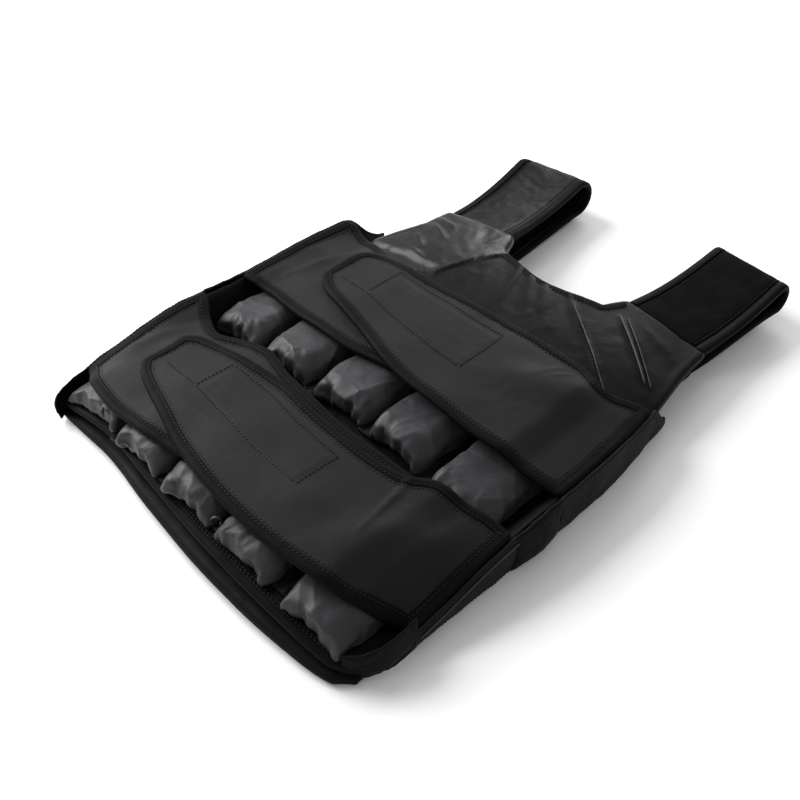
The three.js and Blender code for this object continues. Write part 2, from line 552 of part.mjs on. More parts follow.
function strap(shape) {
  const { width, lean, turn, reach, seam, back } = shape;
  const foldMiddle = (seam[0] + seam[1]) / 2 + Math.tan(lean) * reach;
  const fold = [foldMiddle - width / 2, foldMiddle + width / 2];
  const rows = 2 * RUN_ROWS + FOLD_ROWS;
  return slab(4, rows, 1, (u, v, w) => {
    const atSeam = lerp(seam[0], seam[1], u);
    const seamUnder = frontUnder(atSeam, BODY_LENGTH);
    const seamThickness = frontTop(atSeam, BODY_LENGTH) - seamUnder;
    const spine = strapSpine(Math.round(v * rows), seamUnder + seamThickness / 2, shape);
    const across = lerp(lerp(atSeam, lerp(fold[0], fold[1], u), spine.up), lerp(back[0], back[1], u), spine.down);
    const thickness = lerp(seamThickness, STRAP_THICKNESS, smoothstep(spine.up, 0, 0.3));
    const offset = (w - 0.5) * thickness;
    const skew = Math.tan(turn) * (u - 0.5) * width * spine.up * (1 - spine.down);
    const y = spine.y + skew + offset * Math.cos(spine.angle);
    return new THREE.Vector3(across, y, spine.height + offset * Math.sin(spine.angle));
  });
}
const backOuter = BACK_HALF - ARMHOLE_DEPTH - BACK_RIM_ROUND;
const leftStrap = {
  width: LEFT_STRAP_WIDTH,
  lean: LEFT_STRAP_LEAN,
  turn: LEFT_FOLD_TURN,
  reach: LEFT_STRAP_REACH,
  lift: LEFT_STRAP_LIFT,
  seam: [YOKE_SHIFT - SEAM_HALF, NECK_LEFT],
  back: [-backOuter, STRAP_BACK_WIDTH - backOuter],
};
const rightStrap = {
  width: RIGHT_STRAP_WIDTH,
  lean: RIGHT_STRAP_LEAN,
  turn: RIGHT_FOLD_TURN,
  reach: RIGHT_STRAP_REACH,
  lift: RIGHT_STRAP_LIFT,
  seam: [NECK_RIGHT, YOKE_SHIFT + SEAM_HALF],
  back: [backOuter - STRAP_BACK_WIDTH, backOuter],
};
addPiece("shoulder_strap_left", strap(leftStrap), MATERIALS.nylon);
addPiece("shoulder_strap_right", strap(rightStrap), MATERIALS.nylon);

export default vest;
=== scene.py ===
"""A weighted training vest lying on its back, dressed for the picture.

Sizes are in millimetres, from the hem up, as a maker would cut the vest. Every mesh is moved into the shared
frame, in metres, when it is made.
"""

import logging
import math
from dataclasses import dataclass
from enum import Enum
from typing import Callable, Optional, Sequence

import bpy
import numpy as np
from mathutils import Matrix


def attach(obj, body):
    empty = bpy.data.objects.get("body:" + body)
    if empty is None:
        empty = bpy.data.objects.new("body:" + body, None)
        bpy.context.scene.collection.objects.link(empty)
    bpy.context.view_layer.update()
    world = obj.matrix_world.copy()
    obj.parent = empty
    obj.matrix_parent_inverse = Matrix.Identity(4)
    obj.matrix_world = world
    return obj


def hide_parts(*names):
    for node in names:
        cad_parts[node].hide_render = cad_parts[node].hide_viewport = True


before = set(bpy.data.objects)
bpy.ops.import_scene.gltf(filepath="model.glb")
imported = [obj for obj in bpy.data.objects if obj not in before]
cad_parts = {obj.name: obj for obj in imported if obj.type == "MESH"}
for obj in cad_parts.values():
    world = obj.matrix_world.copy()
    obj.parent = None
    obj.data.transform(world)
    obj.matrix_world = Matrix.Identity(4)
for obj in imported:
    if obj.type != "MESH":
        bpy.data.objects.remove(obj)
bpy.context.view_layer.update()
LOG = logging.getLogger("vest")

MM = 1000  # millimetres in a metre
MIDDLE_Y = 285.5  # from the hem line to the frame's origin
POUCH_PITCH = 67  # from one pouch to the next across the vest
Array = np.ndarray
Piece = bpy.types.Object
Tree = bpy.types.NodeTree
Socket = bpy.types.NodeSocket


# ------------------------------------------------------------------ helpers
def smooth(x: Array, start: float, end: float) -> Array:
    """Eases from 0 at start to 1 at end.

    Args:
        x: Places to look at.
        start: Where it begins to rise.
        end: Where it has risen.

    Returns:
        The eased shares, one for each place.
    """
    t = np.clip((np.asarray(x, float) - start) / (end - start), 0, 1)
    return t * t * (3 - 2 * t)


def mix(a: Array, b: Array, t: Array) -> Array:
    """Blends a into b.

    Args:
        a: Value at t 0.
        b: Value at t 1.
        t: Share of b.

    Returns:
        The blended value.
    """
    return a + (b - a) * t


def lattice(x: Array, y: Array, seed: int) -> Array:
    """Smooth noise in the plan, the same on every run.

    Args:
        x: Places across, in cells.
        y: Places along, in cells.
        seed: Which of the many patterns to use.

    Returns:
        Noise from -1 to 1.
    """
    x, y = np.broadcast_arrays(np.asarray(x, float), np.asarray(y, float))
    column, row = np.floor(x).astype(np.int64), np.floor(y).astype(np.int64)

    def corner(i: int, j: int) -> Array:
        """Slope at a corner of the cell, applied to the point.

        Args:
            i: Column step.
            j: Row step.

        Returns:
            Height that this corner gives.
        """
        key = ((column + i) * 73856093) ^ ((row + j) * 19349663) ^ (seed * 83492791)
        key = (key ^ (key >> 13)) * 1274126177 & 0xFFFFFF
        turn = key / 0xFFFFFF * 2 * np.pi
        return np.cos(turn) * (x - column - i) + np.sin(turn) * (y - row - j)

    u, v = smooth(x - column, 0, 1), smooth(y - row, 0, 1)
    return 1.5 * mix(mix(corner(0, 0), corner(1, 0), u), mix(corner(0, 1), corner(1, 1), u), v)


def creases(x: Array, y: Array, size: float, seed: int) -> Array:
    """Sharp-ridged folds, as in thin crumpled cloth.

    Args:
        x: Places across, in millimetres.
        y: Places along, in millimetres.
        size: Spacing of the widest folds.
        seed: Which pattern to use.

    Returns:
        Heights from about -1 to 1.
    """
    bend = lattice(x / size * 0.7, y / size * 0.7, seed + 40)
    total = np.zeros(np.broadcast(x, y).shape)
    for octave, share in enumerate((0.6, 0.28, 0.12)):
        cell = size / 2**octave
        total = total + share * (1 - 2.6 * np.abs(lattice(x / cell + bend, y / cell - bend, seed + octave)))
    return total


def wrinkles(x: Array, y: Array, seed: int, count: int, spread: tuple[float, float]) -> Array:
    """Crisp short folds that lie at random over a piece of cloth.

    Args:
        x: Places across, in millimetres from the middle.
        y: Places along, in millimetres from the middle.
        seed: Which pattern to use.
        count: How many folds.
        spread: Half the width and length that they are spread over.

    Returns:
        Heights from about -1 to 1.
    """
    pick = np.random.default_rng(seed)
    total = np.zeros(np.broadcast(x, y).shape)
    for _ in range(count):
        centre = pick.uniform(-1, 1, 2) * spread
        angle, length, width = pick.uniform(0, np.pi), pick.uniform(12, 30), pick.uniform(1.6, 4.0)
        bend, height = pick.uniform(-5, 5), pick.choice((-0.7, 1.0)) * pick.uniform(0.4, 1.0)
        along = (x - centre[0]) * np.cos(angle) + (y - centre[1]) * np.sin(angle)
        off = (y - centre[1]) * np.cos(angle) - (x - centre[0]) * np.sin(angle) + bend * (along / length) ** 2
        steep = np.where(off > 0, width, 2.4 * width)
        total = total + height * np.exp(-np.abs(off) / steep) * np.exp(-((along / length) ** 2))
    return total


@dataclass(frozen=True)
class Curve:
    """A smooth line through a few chosen places, without overshoot."""

    places: Sequence[float]
    values: Sequence[float]

    def __call__(self, at: Array) -> Array:
        """Value of the line at some places.

        Args:
            at: Places, in the unit of the table.

        Returns:
            The values there.
        """
        x, y = np.asarray(self.places, float), np.asarray(self.values, float)
        span = np.diff(x)
        slope = np.diff(y) / span

        def steady(a: Array, b: Array) -> Array:
            """Slope at a joint between two stretches, level where they turn round."""
            same = a * b > 0
            return np.where(same, 2 * a * b / np.where(same, a + b, 1), 0)

        at = np.clip(np.asarray(at, float), x[0], x[-1])
        i = np.clip(np.searchsorted(x, at, side="right") - 1, 0, len(x) - 2)
        t = (at - x[i]) / span[i]
        leave = (steady(np.append(0.0, slope[:-1]), slope) * span)[i]
        arrive = (steady(slope, np.append(slope[1:], 0.0)) * span)[i]
        rise = np.diff(y)[i]
        return y[i] + t * (leave + t * (3 * rise - 2 * leave - arrive + t * (leave + arrive - 2 * rise)))


@dataclass(frozen=True)
class Fold:
    """A rounded welt on a layer, from one point to another, in millimetres."""

    x0: float
    y0: float
    x1: float
    y1: float
    spread: float
    height: float
    sharp: float = 0.0

    def rise(self, x: Array, y: Array) -> Array:
        """Height that the welt adds.

        Args:
            x: Places across.
            y: Places along.

        Returns:
            Heights in millimetres.
        """
        run = np.array([self.x1 - self.x0, self.y1 - self.y0])
        length = float(np.hypot(*run))
        share = np.clip(((x - self.x0) * run[0] + (y - self.y0) * run[1]) / length**2, 0, 1)
        off_x, off_y = x - self.x0 - share * run[0], y - self.y0 - share * run[1]
        side = (off_y * run[0] - off_x * run[1]) / length
        away = np.hypot(off_x, off_y) / (self.spread * np.where(side > 0, 1 - 0.8 * self.sharp, 1))
        return self.height * np.exp(-away * away) * np.sin(np.pi * mix(0.1, 0.9, share))


# ------------------------------------------------------------------ finishes
class Slot(Enum):
    """The record's material slots."""

    SHELL = "shell_nylon"
    POUCH = "pouch_nylon"
    NEOPRENE = "neoprene"
    BINDING = "binding"
    ELASTIC = "elastic"


class Weave(Enum):
    """How a cloth's surface is laid."""

    PLAIN = "plain"
    KNIT = "knit"
    RIBBED = "ribbed"


def feed(tree: Tree, kind: str, values: dict, links: dict) -> bpy.types.Node:
    """Sets the inputs of a node.

    Args:
        tree: The material's nodes.
        kind: The type of a new node, or the name of one that is there.
        values: Values for its inputs, by name or number.
        links: Sockets that feed its inputs, by name or number.

    Returns:
        The node.
    """
    node = tree.nodes.get(kind) or tree.nodes.new(kind)
    for key, value in values.items():
        node.inputs[key].default_value = value
    for key, source in links.items():
        tree.links.new(source, node.inputs[key])
    return node


@dataclass(frozen=True)
class Cloth:
    """A cloth's finish: colour, gloss, weave and the creases too fine for the mesh.

    The pitch, the depths and the sizes are in millimetres.
    """

    name: str
    slot: Slot
    colour: tuple[float, float, float]
    roughness: float
    sheen: float
    weave: Weave
    weave_pitch: float
    weave_depth: float
    crease_size: float
    crease_depth: float
    mottle: float = 0.25
    shine: float = 0.3
    blotch_size: float = 35
    grain_size: float = 1.2

    def material(self) -> bpy.types.Material:
        """Makes the cloth's material, or gives the one already made.

        Returns:
            The material, with its colour, gloss and relief from nodes.
        """
        ready = bpy.data.materials.get(self.name)
        if ready:
            return ready
        made = bpy.data.materials.new(self.name)
        made.use_nodes = True
        made.diffuse_color = (*self.colour, 1)
        tree = made.node_tree
        place = tree.nodes.new("ShaderNodeTexCoord").outputs["Object"]
        blotch = self._noise(tree, place, self.blotch_size, 3)
        grain = self._noise(tree, place, self.grain_size, 2)
        shade = self._ramp(tree, blotch, 1 - self.mottle, 1 + self.mottle)
        tint = feed(tree, "ShaderNodeMath", {}, {0: shade, 1: self._ramp(tree, grain, 0.82, 1.18)})
        tint.operation = "MULTIPLY"
        plain = {"Fac": 1, "Color1": (*self.colour, 1)}
        colour = feed(tree, "ShaderNodeMixRGB", plain, {"Color2": tint.outputs[0]})
        colour.blend_type = "MULTIPLY"
        gloss = self._ramp(tree, blotch, self.roughness - 0.07, self.roughness + 0.07)
        finish = {"Sheen Weight": self.sheen, "Sheen Roughness": 0.5, "Specular IOR Level": self.shine}
        wiring = {"Base Color": colour.outputs[0], "Roughness": gloss, "Normal": self._relief(tree, place)}
        feed(tree, "Principled BSDF", finish, wiring)
        return made

    def _noise(self, tree: Tree, place: Socket, size: float, detail: float) -> Socket:
        """Noise over the piece.

        Args:
            tree: The material's nodes.
            place: Where on the piece.
            size: Width of a cell in millimetres.
            detail: Octaves.

        Returns:
            The noise's output.
        """
        values = {"Scale": MM / size, "Detail": detail}
        return feed(tree, "ShaderNodeTexNoise", values, {"Vector": place}).outputs["Fac"]

    def _ramp(self, tree: Tree, source: Socket, low: float, high: float) -> Socket:
        """Maps noise onto a range.

        Args:
            tree: The material's nodes.
            source: Noise to map.
            low: Value at its lows.
            high: Value at its highs.

        Returns:
            The mapped output.
        """
        values = {"From Min": 0.3, "From Max": 0.7, "To Min": low, "To Max": high}
        return feed(tree, "ShaderNodeMapRange", values, {"Value": source}).outputs["Result"]

    def _relief(self, tree: Tree, place: Socket) -> Socket:
        """Weave and fine creases as bumps.

        Args:
            tree: The material's nodes.
            place: Where on the piece.

        Returns:
            The bumped normal.
        """
        threads = MM / self.weave_pitch
        if self.weave is Weave.KNIT:
            knit = feed(tree, "ShaderNodeTexVoronoi", {"Scale": threads}, {"Vector": place})
            height = knit.outputs["Distance"]
        else:
            ribs = []
            for axis in ("X", "Y") if self.weave is Weave.PLAIN else ("Y",):
                values = {"Scale": threads / 20 * math.pi, "Distortion": 0.6}
                wave = feed(tree, "ShaderNodeTexWave", values, {"Vector": place})
                wave.bands_direction = axis
                ribs.append(wave.outputs["Fac"])
            height = ribs[0]
            if len(ribs) > 1:
                height = feed(tree, "ShaderNodeMath", {}, dict(enumerate(ribs))).outputs[0]
        values = {"Strength": 0.5, "Distance": self.weave_depth / MM}
        fine = feed(tree, "ShaderNodeBump", values, {"Height": height})
        values = {"Strength": 0.6, "Distance": self.crease_depth / MM}
        crumple = self._noise(tree, place, self.crease_size, 5)
        links = {"Height": crumple, "Normal": fine.outputs["Normal"]}
        return feed(tree, "ShaderNodeBump", values, links).outputs["Normal"]


NEOPRENE = Cloth(
    "matt_neoprene", Slot.NEOPRENE, (0.0075, 0.0073, 0.0081), roughness=0.62, sheen=0.01, weave=Weave.KNIT,
    weave_pitch=0.8, weave_depth=0.12, crease_size=14, crease_depth=0.25, mottle=0.1, shine=0.13,
)
SHELL = Cloth(
    "shell_cloth", Slot.SHELL, (0.0024, 0.0023, 0.0027), roughness=0.46, sheen=0.0, weave=Weave.PLAIN,
    weave_pitch=0.9, weave_depth=0.03, crease_size=14, crease_depth=1.0, mottle=0.15, shine=0.09,
)
# Painted sheen: a lighter, glossier copy of the shell cloth, for the left shoulder patch where the light
# catches the yoke, and for the chest piping as painted highlight on the welt ridges.
SHELL_PAINTED_SHEEN_CLOTH = Cloth(
    "shiny_shell_cloth", Slot.SHELL, (0.0055, 0.0053, 0.0060), roughness=0.36, sheen=0.0, weave=Weave.PLAIN,
    weave_pitch=0.9, weave_depth=0.03, crease_size=14, crease_depth=0.9, mottle=0.15, shine=0.24,
)
# Painted shade: a darker, duller copy of the strap cloth for the right strap, standing in for the shade on the
# strap that lies away from the light.
STRAP_PAINTED_SHADE_CLOTH = Cloth(
    "strap_cloth", Slot.SHELL, (0.001, 0.001, 0.0012), roughness=0.65, sheen=0.0, weave=Weave.PLAIN,
    weave_pitch=0.9, weave_depth=0.03, crease_size=14, crease_depth=0.9, mottle=0.15, shine=0.02,
)
# Painted light: a lighter, glossier copy of the same strap cloth for the left strap, standing in for the light
# that falls on it.
STRAP_PAINTED_LIGHT_CLOTH = Cloth(
    "shiny_strap_cloth", Slot.SHELL, (0.0018, 0.0018, 0.0021), roughness=0.42, sheen=0.0, weave=Weave.PLAIN,
    weave_pitch=0.9, weave_depth=0.03, crease_size=14, crease_depth=0.9, mottle=0.15, shine=0.05,
)
POUCH_CLOTH = Cloth(
    "crinkled_pouch_cloth", Slot.POUCH, (0.031, 0.0302, 0.0332), roughness=0.45, sheen=0.02, weave=Weave.PLAIN,
    weave_pitch=0.7, weave_depth=0.05, crease_size=9, crease_depth=0.7, mottle=0.2, shine=0.2,
)
TAPE = Cloth(
    "folded_tape", Slot.BINDING, (0.0028, 0.0027, 0.0031), roughness=0.64, sheen=0.0, weave=Weave.RIBBED,
    weave_pitch=1.2, weave_depth=0.1, crease_size=12, crease_depth=0.3, mottle=0.15, shine=0.05,
)
THREAD = Cloth(
    "sewing_thread", Slot.BINDING, (0.011, 0.0107, 0.0118), roughness=0.5, sheen=0.0, weave=Weave.PLAIN,
    weave_pitch=0.3, weave_depth=0.03, crease_size=2, crease_depth=0.05, mottle=0.2, shine=0.15,
)
ELASTIC = Cloth(
    "ribbed_elastic", Slot.ELASTIC, (0.005, 0.0049, 0.0054), roughness=0.7, sheen=0.0, weave=Weave.RIBBED,
    weave_pitch=1.6, weave_depth=0.4, crease_size=10, crease_depth=0.3, mottle=0.15, shine=0.12,
)
LINING = Cloth(
    "dark_lining", Slot.SHELL, (0.0018, 0.0018, 0.002), roughness=0.6, sheen=0.0, weave=Weave.PLAIN,
    weave_pitch=0.9, weave_depth=0.08, crease_size=10, crease_depth=1.0, mottle=0.2, shine=0.08,
)


# ------------------------------------------------------------------ mesh making
def into_frame(points: Array) -> Array:
    """Moves points from millimetres above the hem to the shared frame in metres.

    Args:
        points: Points, the last axis being x, y, z.

    Returns:
        The moved points.
    """
    return (points - np.array([0.0, MIDDLE_Y, 0.0])) / MM


# The turned edge of the shoulder patch, from the side to the neck.
PLEAT_X = (-150, -75, -66, -58, -48, -40)
PLEAT_Y = (300, 332, 352, 366, 386, 402)


def placed(name: str, data: bpy.types.ID) -> Piece:
    """Puts an object with this data into the scene.

    Args:
        name: The object's name.
        data: Its mesh, camera or light.

    Returns:
        The object.
    """
    thing = bpy.data.objects.new(name, data)
    bpy.context.scene.collection.objects.link(thing)
    return thing


def make_piece(
    name: str,
    points: Array,
    faces: Array,
    cloth: Cloth,
    stands_for: Sequence[str] = (),
    dark_below: Optional[float] = None,
) -> Piece:
    """Makes a piece, dresses it and lets it ride on the vest's body.

    Args:
        name: The piece's name.
        points: Its points in millimetres.
        faces: Its faces, as rows of point numbers.
        cloth: Its finish.
        stands_for: CAD nodes that it replaces.
        dark_below: Place along the body below which it has the dark lining's finish, with the lighter copy of
            the shell cloth on the shoulder patch as painted sheen.

    Returns:
        The new piece.
    """
    mesh = bpy.data.meshes.new(name)
    spots = into_frame(points).reshape(-1, 3)
    mesh.from_pydata(spots.tolist(), [], faces.tolist() if isinstance(faces, np.ndarray) else faces)
    mesh.validate()
    mesh.materials.append(cloth.material())
    if dark_below is not None:
        mesh.materials.append(LINING.material())
        mesh.materials.append(SHELL_PAINTED_SHEEN_CLOTH.material())
        for face in mesh.polygons:
            x, y = face.center.x * MM, face.center.y * MM + MIDDLE_Y
            # The shoulder patch's faces take the lighter copy of the shell cloth: painted sheen.
            painted_sheen = x < PLEAT_X[-1] and y > np.interp(x, PLEAT_X, PLEAT_Y)
            face.material_index = 1 if y < dark_below else 2 * int(painted_sheen)
    mesh.shade_smooth()
    piece = placed(name, mesh)
    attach(piece, "root")
    if stands_for:
        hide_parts(*stands_for)
    LOG.info("made %s with %d faces", name, len(mesh.polygons))
    return piece


def grid_faces(rows: int, columns: int, first: int = 0) -> Array:
    """Quads over a grid of points.

    Args:
        rows: Rows of points.
        columns: Points in a row.
        first: Number of the first point.

    Returns:
        The quads.
    """
    i, j = np.meshgrid(np.arange(rows - 1), np.arange(columns - 1), indexing="ij")
    a, b = first + i * columns + j, first + (i + 1) * columns + j
    return np.stack([a, a + 1, b + 1, b], -1).reshape(-1, 4)


def rim_loop(rows: int, columns: int) -> Array:
    """Numbers of the points round a grid's rim, anticlockwise as seen from above."""
    grid = np.arange(rows * columns).reshape(rows, columns)
    return np.concatenate([grid[0, :-1], grid[:-1, -1], grid[-1, :0:-1], grid[:0:-1, 0]])


def closed_sheet(under: Array, upper: Array, bulge: float = 0.5) -> tuple[Array, Array]:
    """Joins two grids of points into one closed cloth with a rounded rim.

    Args:
        under: Points of the underside, rows by columns by 3.
        upper: Points of the upper side.
        bulge: How far the rim stands out, in shares of the thickness there.

    Returns:
        The points and the quads.
    """
    rows, columns = under.shape[:2]
    count = rows * columns
    low, high = under.reshape(-1, 3), upper.reshape(-1, 3)
    loop = rim_loop(rows, columns)
    edge = (low[loop] + high[loop]) / 2
    tangent = np.roll(edge, -1, 0) - np.roll(edge, 1, 0)
    outward = np.stack([tangent[:, 1], -tangent[:, 0], np.zeros(len(loop))], -1)
    outward /= np.maximum(np.linalg.norm(outward, axis=1, keepdims=True), 1e-9)
    thick = np.linalg.norm(high[loop] - low[loop], axis=1, keepdims=True)
    rings = []
    for turn in (0.25, 0.5, 0.75):
        angle = math.pi * turn
        level = mix(low[loop], high[loop], (1 - math.cos(angle)) / 2)
        rings.append(level + outward * thick * bulge * math.sin(angle))
    points = np.concatenate([low, high, *rings])
    faces = [grid_faces(rows, columns)[:, ::-1], grid_faces(rows, columns, count)]
    bands = [loop, *(2 * count + k * len(loop) + np.arange(len(loop)) for k in range(3)), loop + count]
    for a, b in zip(bands, bands[1:]):
        faces.append(np.stack([a, np.roll(a, -1), np.roll(b, -1), b], -1))
    return points, np.concatenate(faces)


def tube_faces(spans: int, steps: int, around: int) -> Array:
    """Quads round a tube.

    Args:
        spans: How many sections are joined to the next one.
        steps: How many sections there are.
        around: Points in a section.

    Returns:
        The quads.
    """
    i, j = np.meshgrid(np.arange(spans), np.arange(around), indexing="ij")
    here, there, after = i * around, (i + 1) % steps * around, (j + 1) % around
    return np.stack([here + j, there + j, there + after, here + after], -1).reshape(-1, 4)


def closed_tube(sections: Array) -> tuple[Array, Array]:
    """A closed band from sections that follow a closed path.

    Args:
        sections: Steps by section points by 3, both closing on themselves.

    Returns:
        The points and the quads.
    """
    steps, around = sections.shape[:2]
    return sections.reshape(-1, 3), tube_faces(steps, steps, around)


def open_tube(sections: Array) -> tuple[Array, list]:
    """A band with two closed ends from sections along an open path.

    Args:
        sections: Steps by section points by 3.

    Returns:
        The points and the quads, with a fan at each end.
    """
    steps, around = sections.shape[:2]
    points = np.concatenate([sections.reshape(-1, 3), sections[[0, -1]].mean(1)])
    faces = tube_faces(steps - 1, steps, around).tolist()
    last, hub = (steps - 1) * around, steps * around
    for k in range(around):
        after = (k + 1) % around
        faces.append([k, after, hub])
        faces.append([last + after, last + k, hub + 1])
    return points, faces


def joined(parts: Sequence[tuple[Array, list]]) -> tuple[Array, list]:
    """Puts several closed forms into one mesh.

    Args:
        parts: Points and faces of each form.

    Returns:
        The points and the faces of all of them.
    """
    faces, first = [], 0
    for points, own in parts:
        faces.extend([[i + first for i in face] for face in own])
        first += len(points)
    return np.concatenate([points for points, _ in parts]), faces


def evaluated(
    name: str, points: Array, faces: Array, prepare: Callable[[Piece], None], steps: int
) -> tuple[Array, Array]:
    """Runs modifiers on a loose copy of a mesh and takes the result.

    Args:
        name: Name for the copy.
        points: Its points.
        faces: Its faces.
        prepare: Adds the modifiers to the copy.
        steps: Steps to run.

    Returns:
        The resulting points and quads.
    """
    mesh = bpy.data.meshes.new(name)
    mesh.from_pydata(points.tolist(), [], faces.tolist())
    copy = placed(name, mesh)
    prepare(copy)
    for step in range(1, steps + 1):
        bpy.context.scene.frame_set(step)
    result = bpy.data.meshes.new_from_object(copy.evaluated_get(bpy.context.evaluated_depsgraph_get()))
    bpy.data.objects.remove(copy)
    bpy.data.meshes.remove(mesh)
    bpy.context.scene.frame_set(1)
    spots = np.empty(len(result.vertices) * 3)
    result.vertices.foreach_get("co", spots)
    quads = np.empty(len(result.loops), dtype=np.int64)
    result.loops.foreach_get("vertex_index", quads)
    bpy.data.meshes.remove(result)
    return spots.reshape(-1, 3), quads.reshape(-1, 4)


def finer(points: Array, faces: Array) -> tuple[Array, Array]:
    """Splits each face into four and rounds the form.

    Args:
        points: The points.
        faces: The quads.

    Returns:
        The new points and quads.
    """

    def prepare(copy: Piece) -> None:
        """Adds the subdivision."""
        copy.modifiers.new("finer", "SUBSURF").levels = 1

    return evaluated("finer", points, faces, prepare, 1)


def inflated(points: Array, faces: Array, pressure: float, slack: float, limit: float) -> Array:
    """Fills a closed cloth form by simulation, and lets no point move far.

    Args:
        points: The points in millimetres.
        faces: The quads.
        pressure: Pressure inside.
        slack: Share by which the cloth is larger than its form, which wrinkles it.
        limit: Furthest that a point may move, in millimetres.

    Returns:
        The moved points.
    """
    scale = 200.0  # the simulation works on a form a few tenths of a unit wide

    def prepare(copy: Piece) -> None:
        """Adds the cloth simulation."""
        settings = copy.modifiers.new("cloth", "CLOTH").settings
        settings.quality = 6
        settings.use_pressure = True
        settings.uniform_pressure_force = pressure
        settings.shrink_min = -slack
        settings.effector_weights.gravity = 0

    middle = points.mean(0)
    filled, _ = evaluated("filling", (points - middle) / scale, faces, prepare, 14)
    move = filled * scale + middle - points
    far = np.linalg.norm(move, axis=1, keepdims=True)
    return points + move * np.minimum(1, limit / np.maximum(far, 1e-9))


@dataclass
class Seam:
    """Rows of stitches that follow a line on the cloth."""

    pitch: float = 3.6
    length: float = 2.7
    radius: float = 0.42
    proud: float = 0.1
    sides: int = 4

    def sew(self, name: str, lines: Sequence[Array]) -> None:
        """Lays small stitches along the lines, as one piece.

        Args:
            name: The piece's name.
            lines: Lines of points on the cloth, in millimetres.
        """
        stitches = []
        for line in lines:
            step = np.linalg.norm(np.diff(line, axis=0), axis=1)
            run = np.append(0, np.cumsum(step))
            for start in np.arange(0, run[-1] - self.length, self.pitch):
                at = start + self.length * np.array([0.0, 0.2, 0.8, 1.0])
                spine = np.stack([np.interp(at, run, line[:, k]) for k in range(3)], -1)
                along = spine[-1] - spine[0]
                along /= max(float(np.linalg.norm(along)), 1e-9)
                side = np.cross(along, [0.0, 0.0, 1.0])
                side /= max(float(np.linalg.norm(side)), 1e-9)
                up = np.cross(side, along)
                size = self.radius * np.array([0.35, 1.0, 1.0, 0.35])
                angle = np.arange(self.sides) / self.sides * 2 * np.pi
                ring = np.cos(angle)[:, None] * side + np.sin(angle)[:, None] * up
                stitch = spine[:, None] + size[:, None, None] * ring[None] + np.array([0, 0, self.proud])
                stitches.append(open_tube(stitch))
        make_piece(name, *joined(stitches), THREAD)


# ------------------------------------------------------------------ the vest's layers
AT = (-0.05, 0.01, 0.05, 0.14, 0.32, 0.45, 0.61, 0.76, 0.86, 0.94, 1.0)


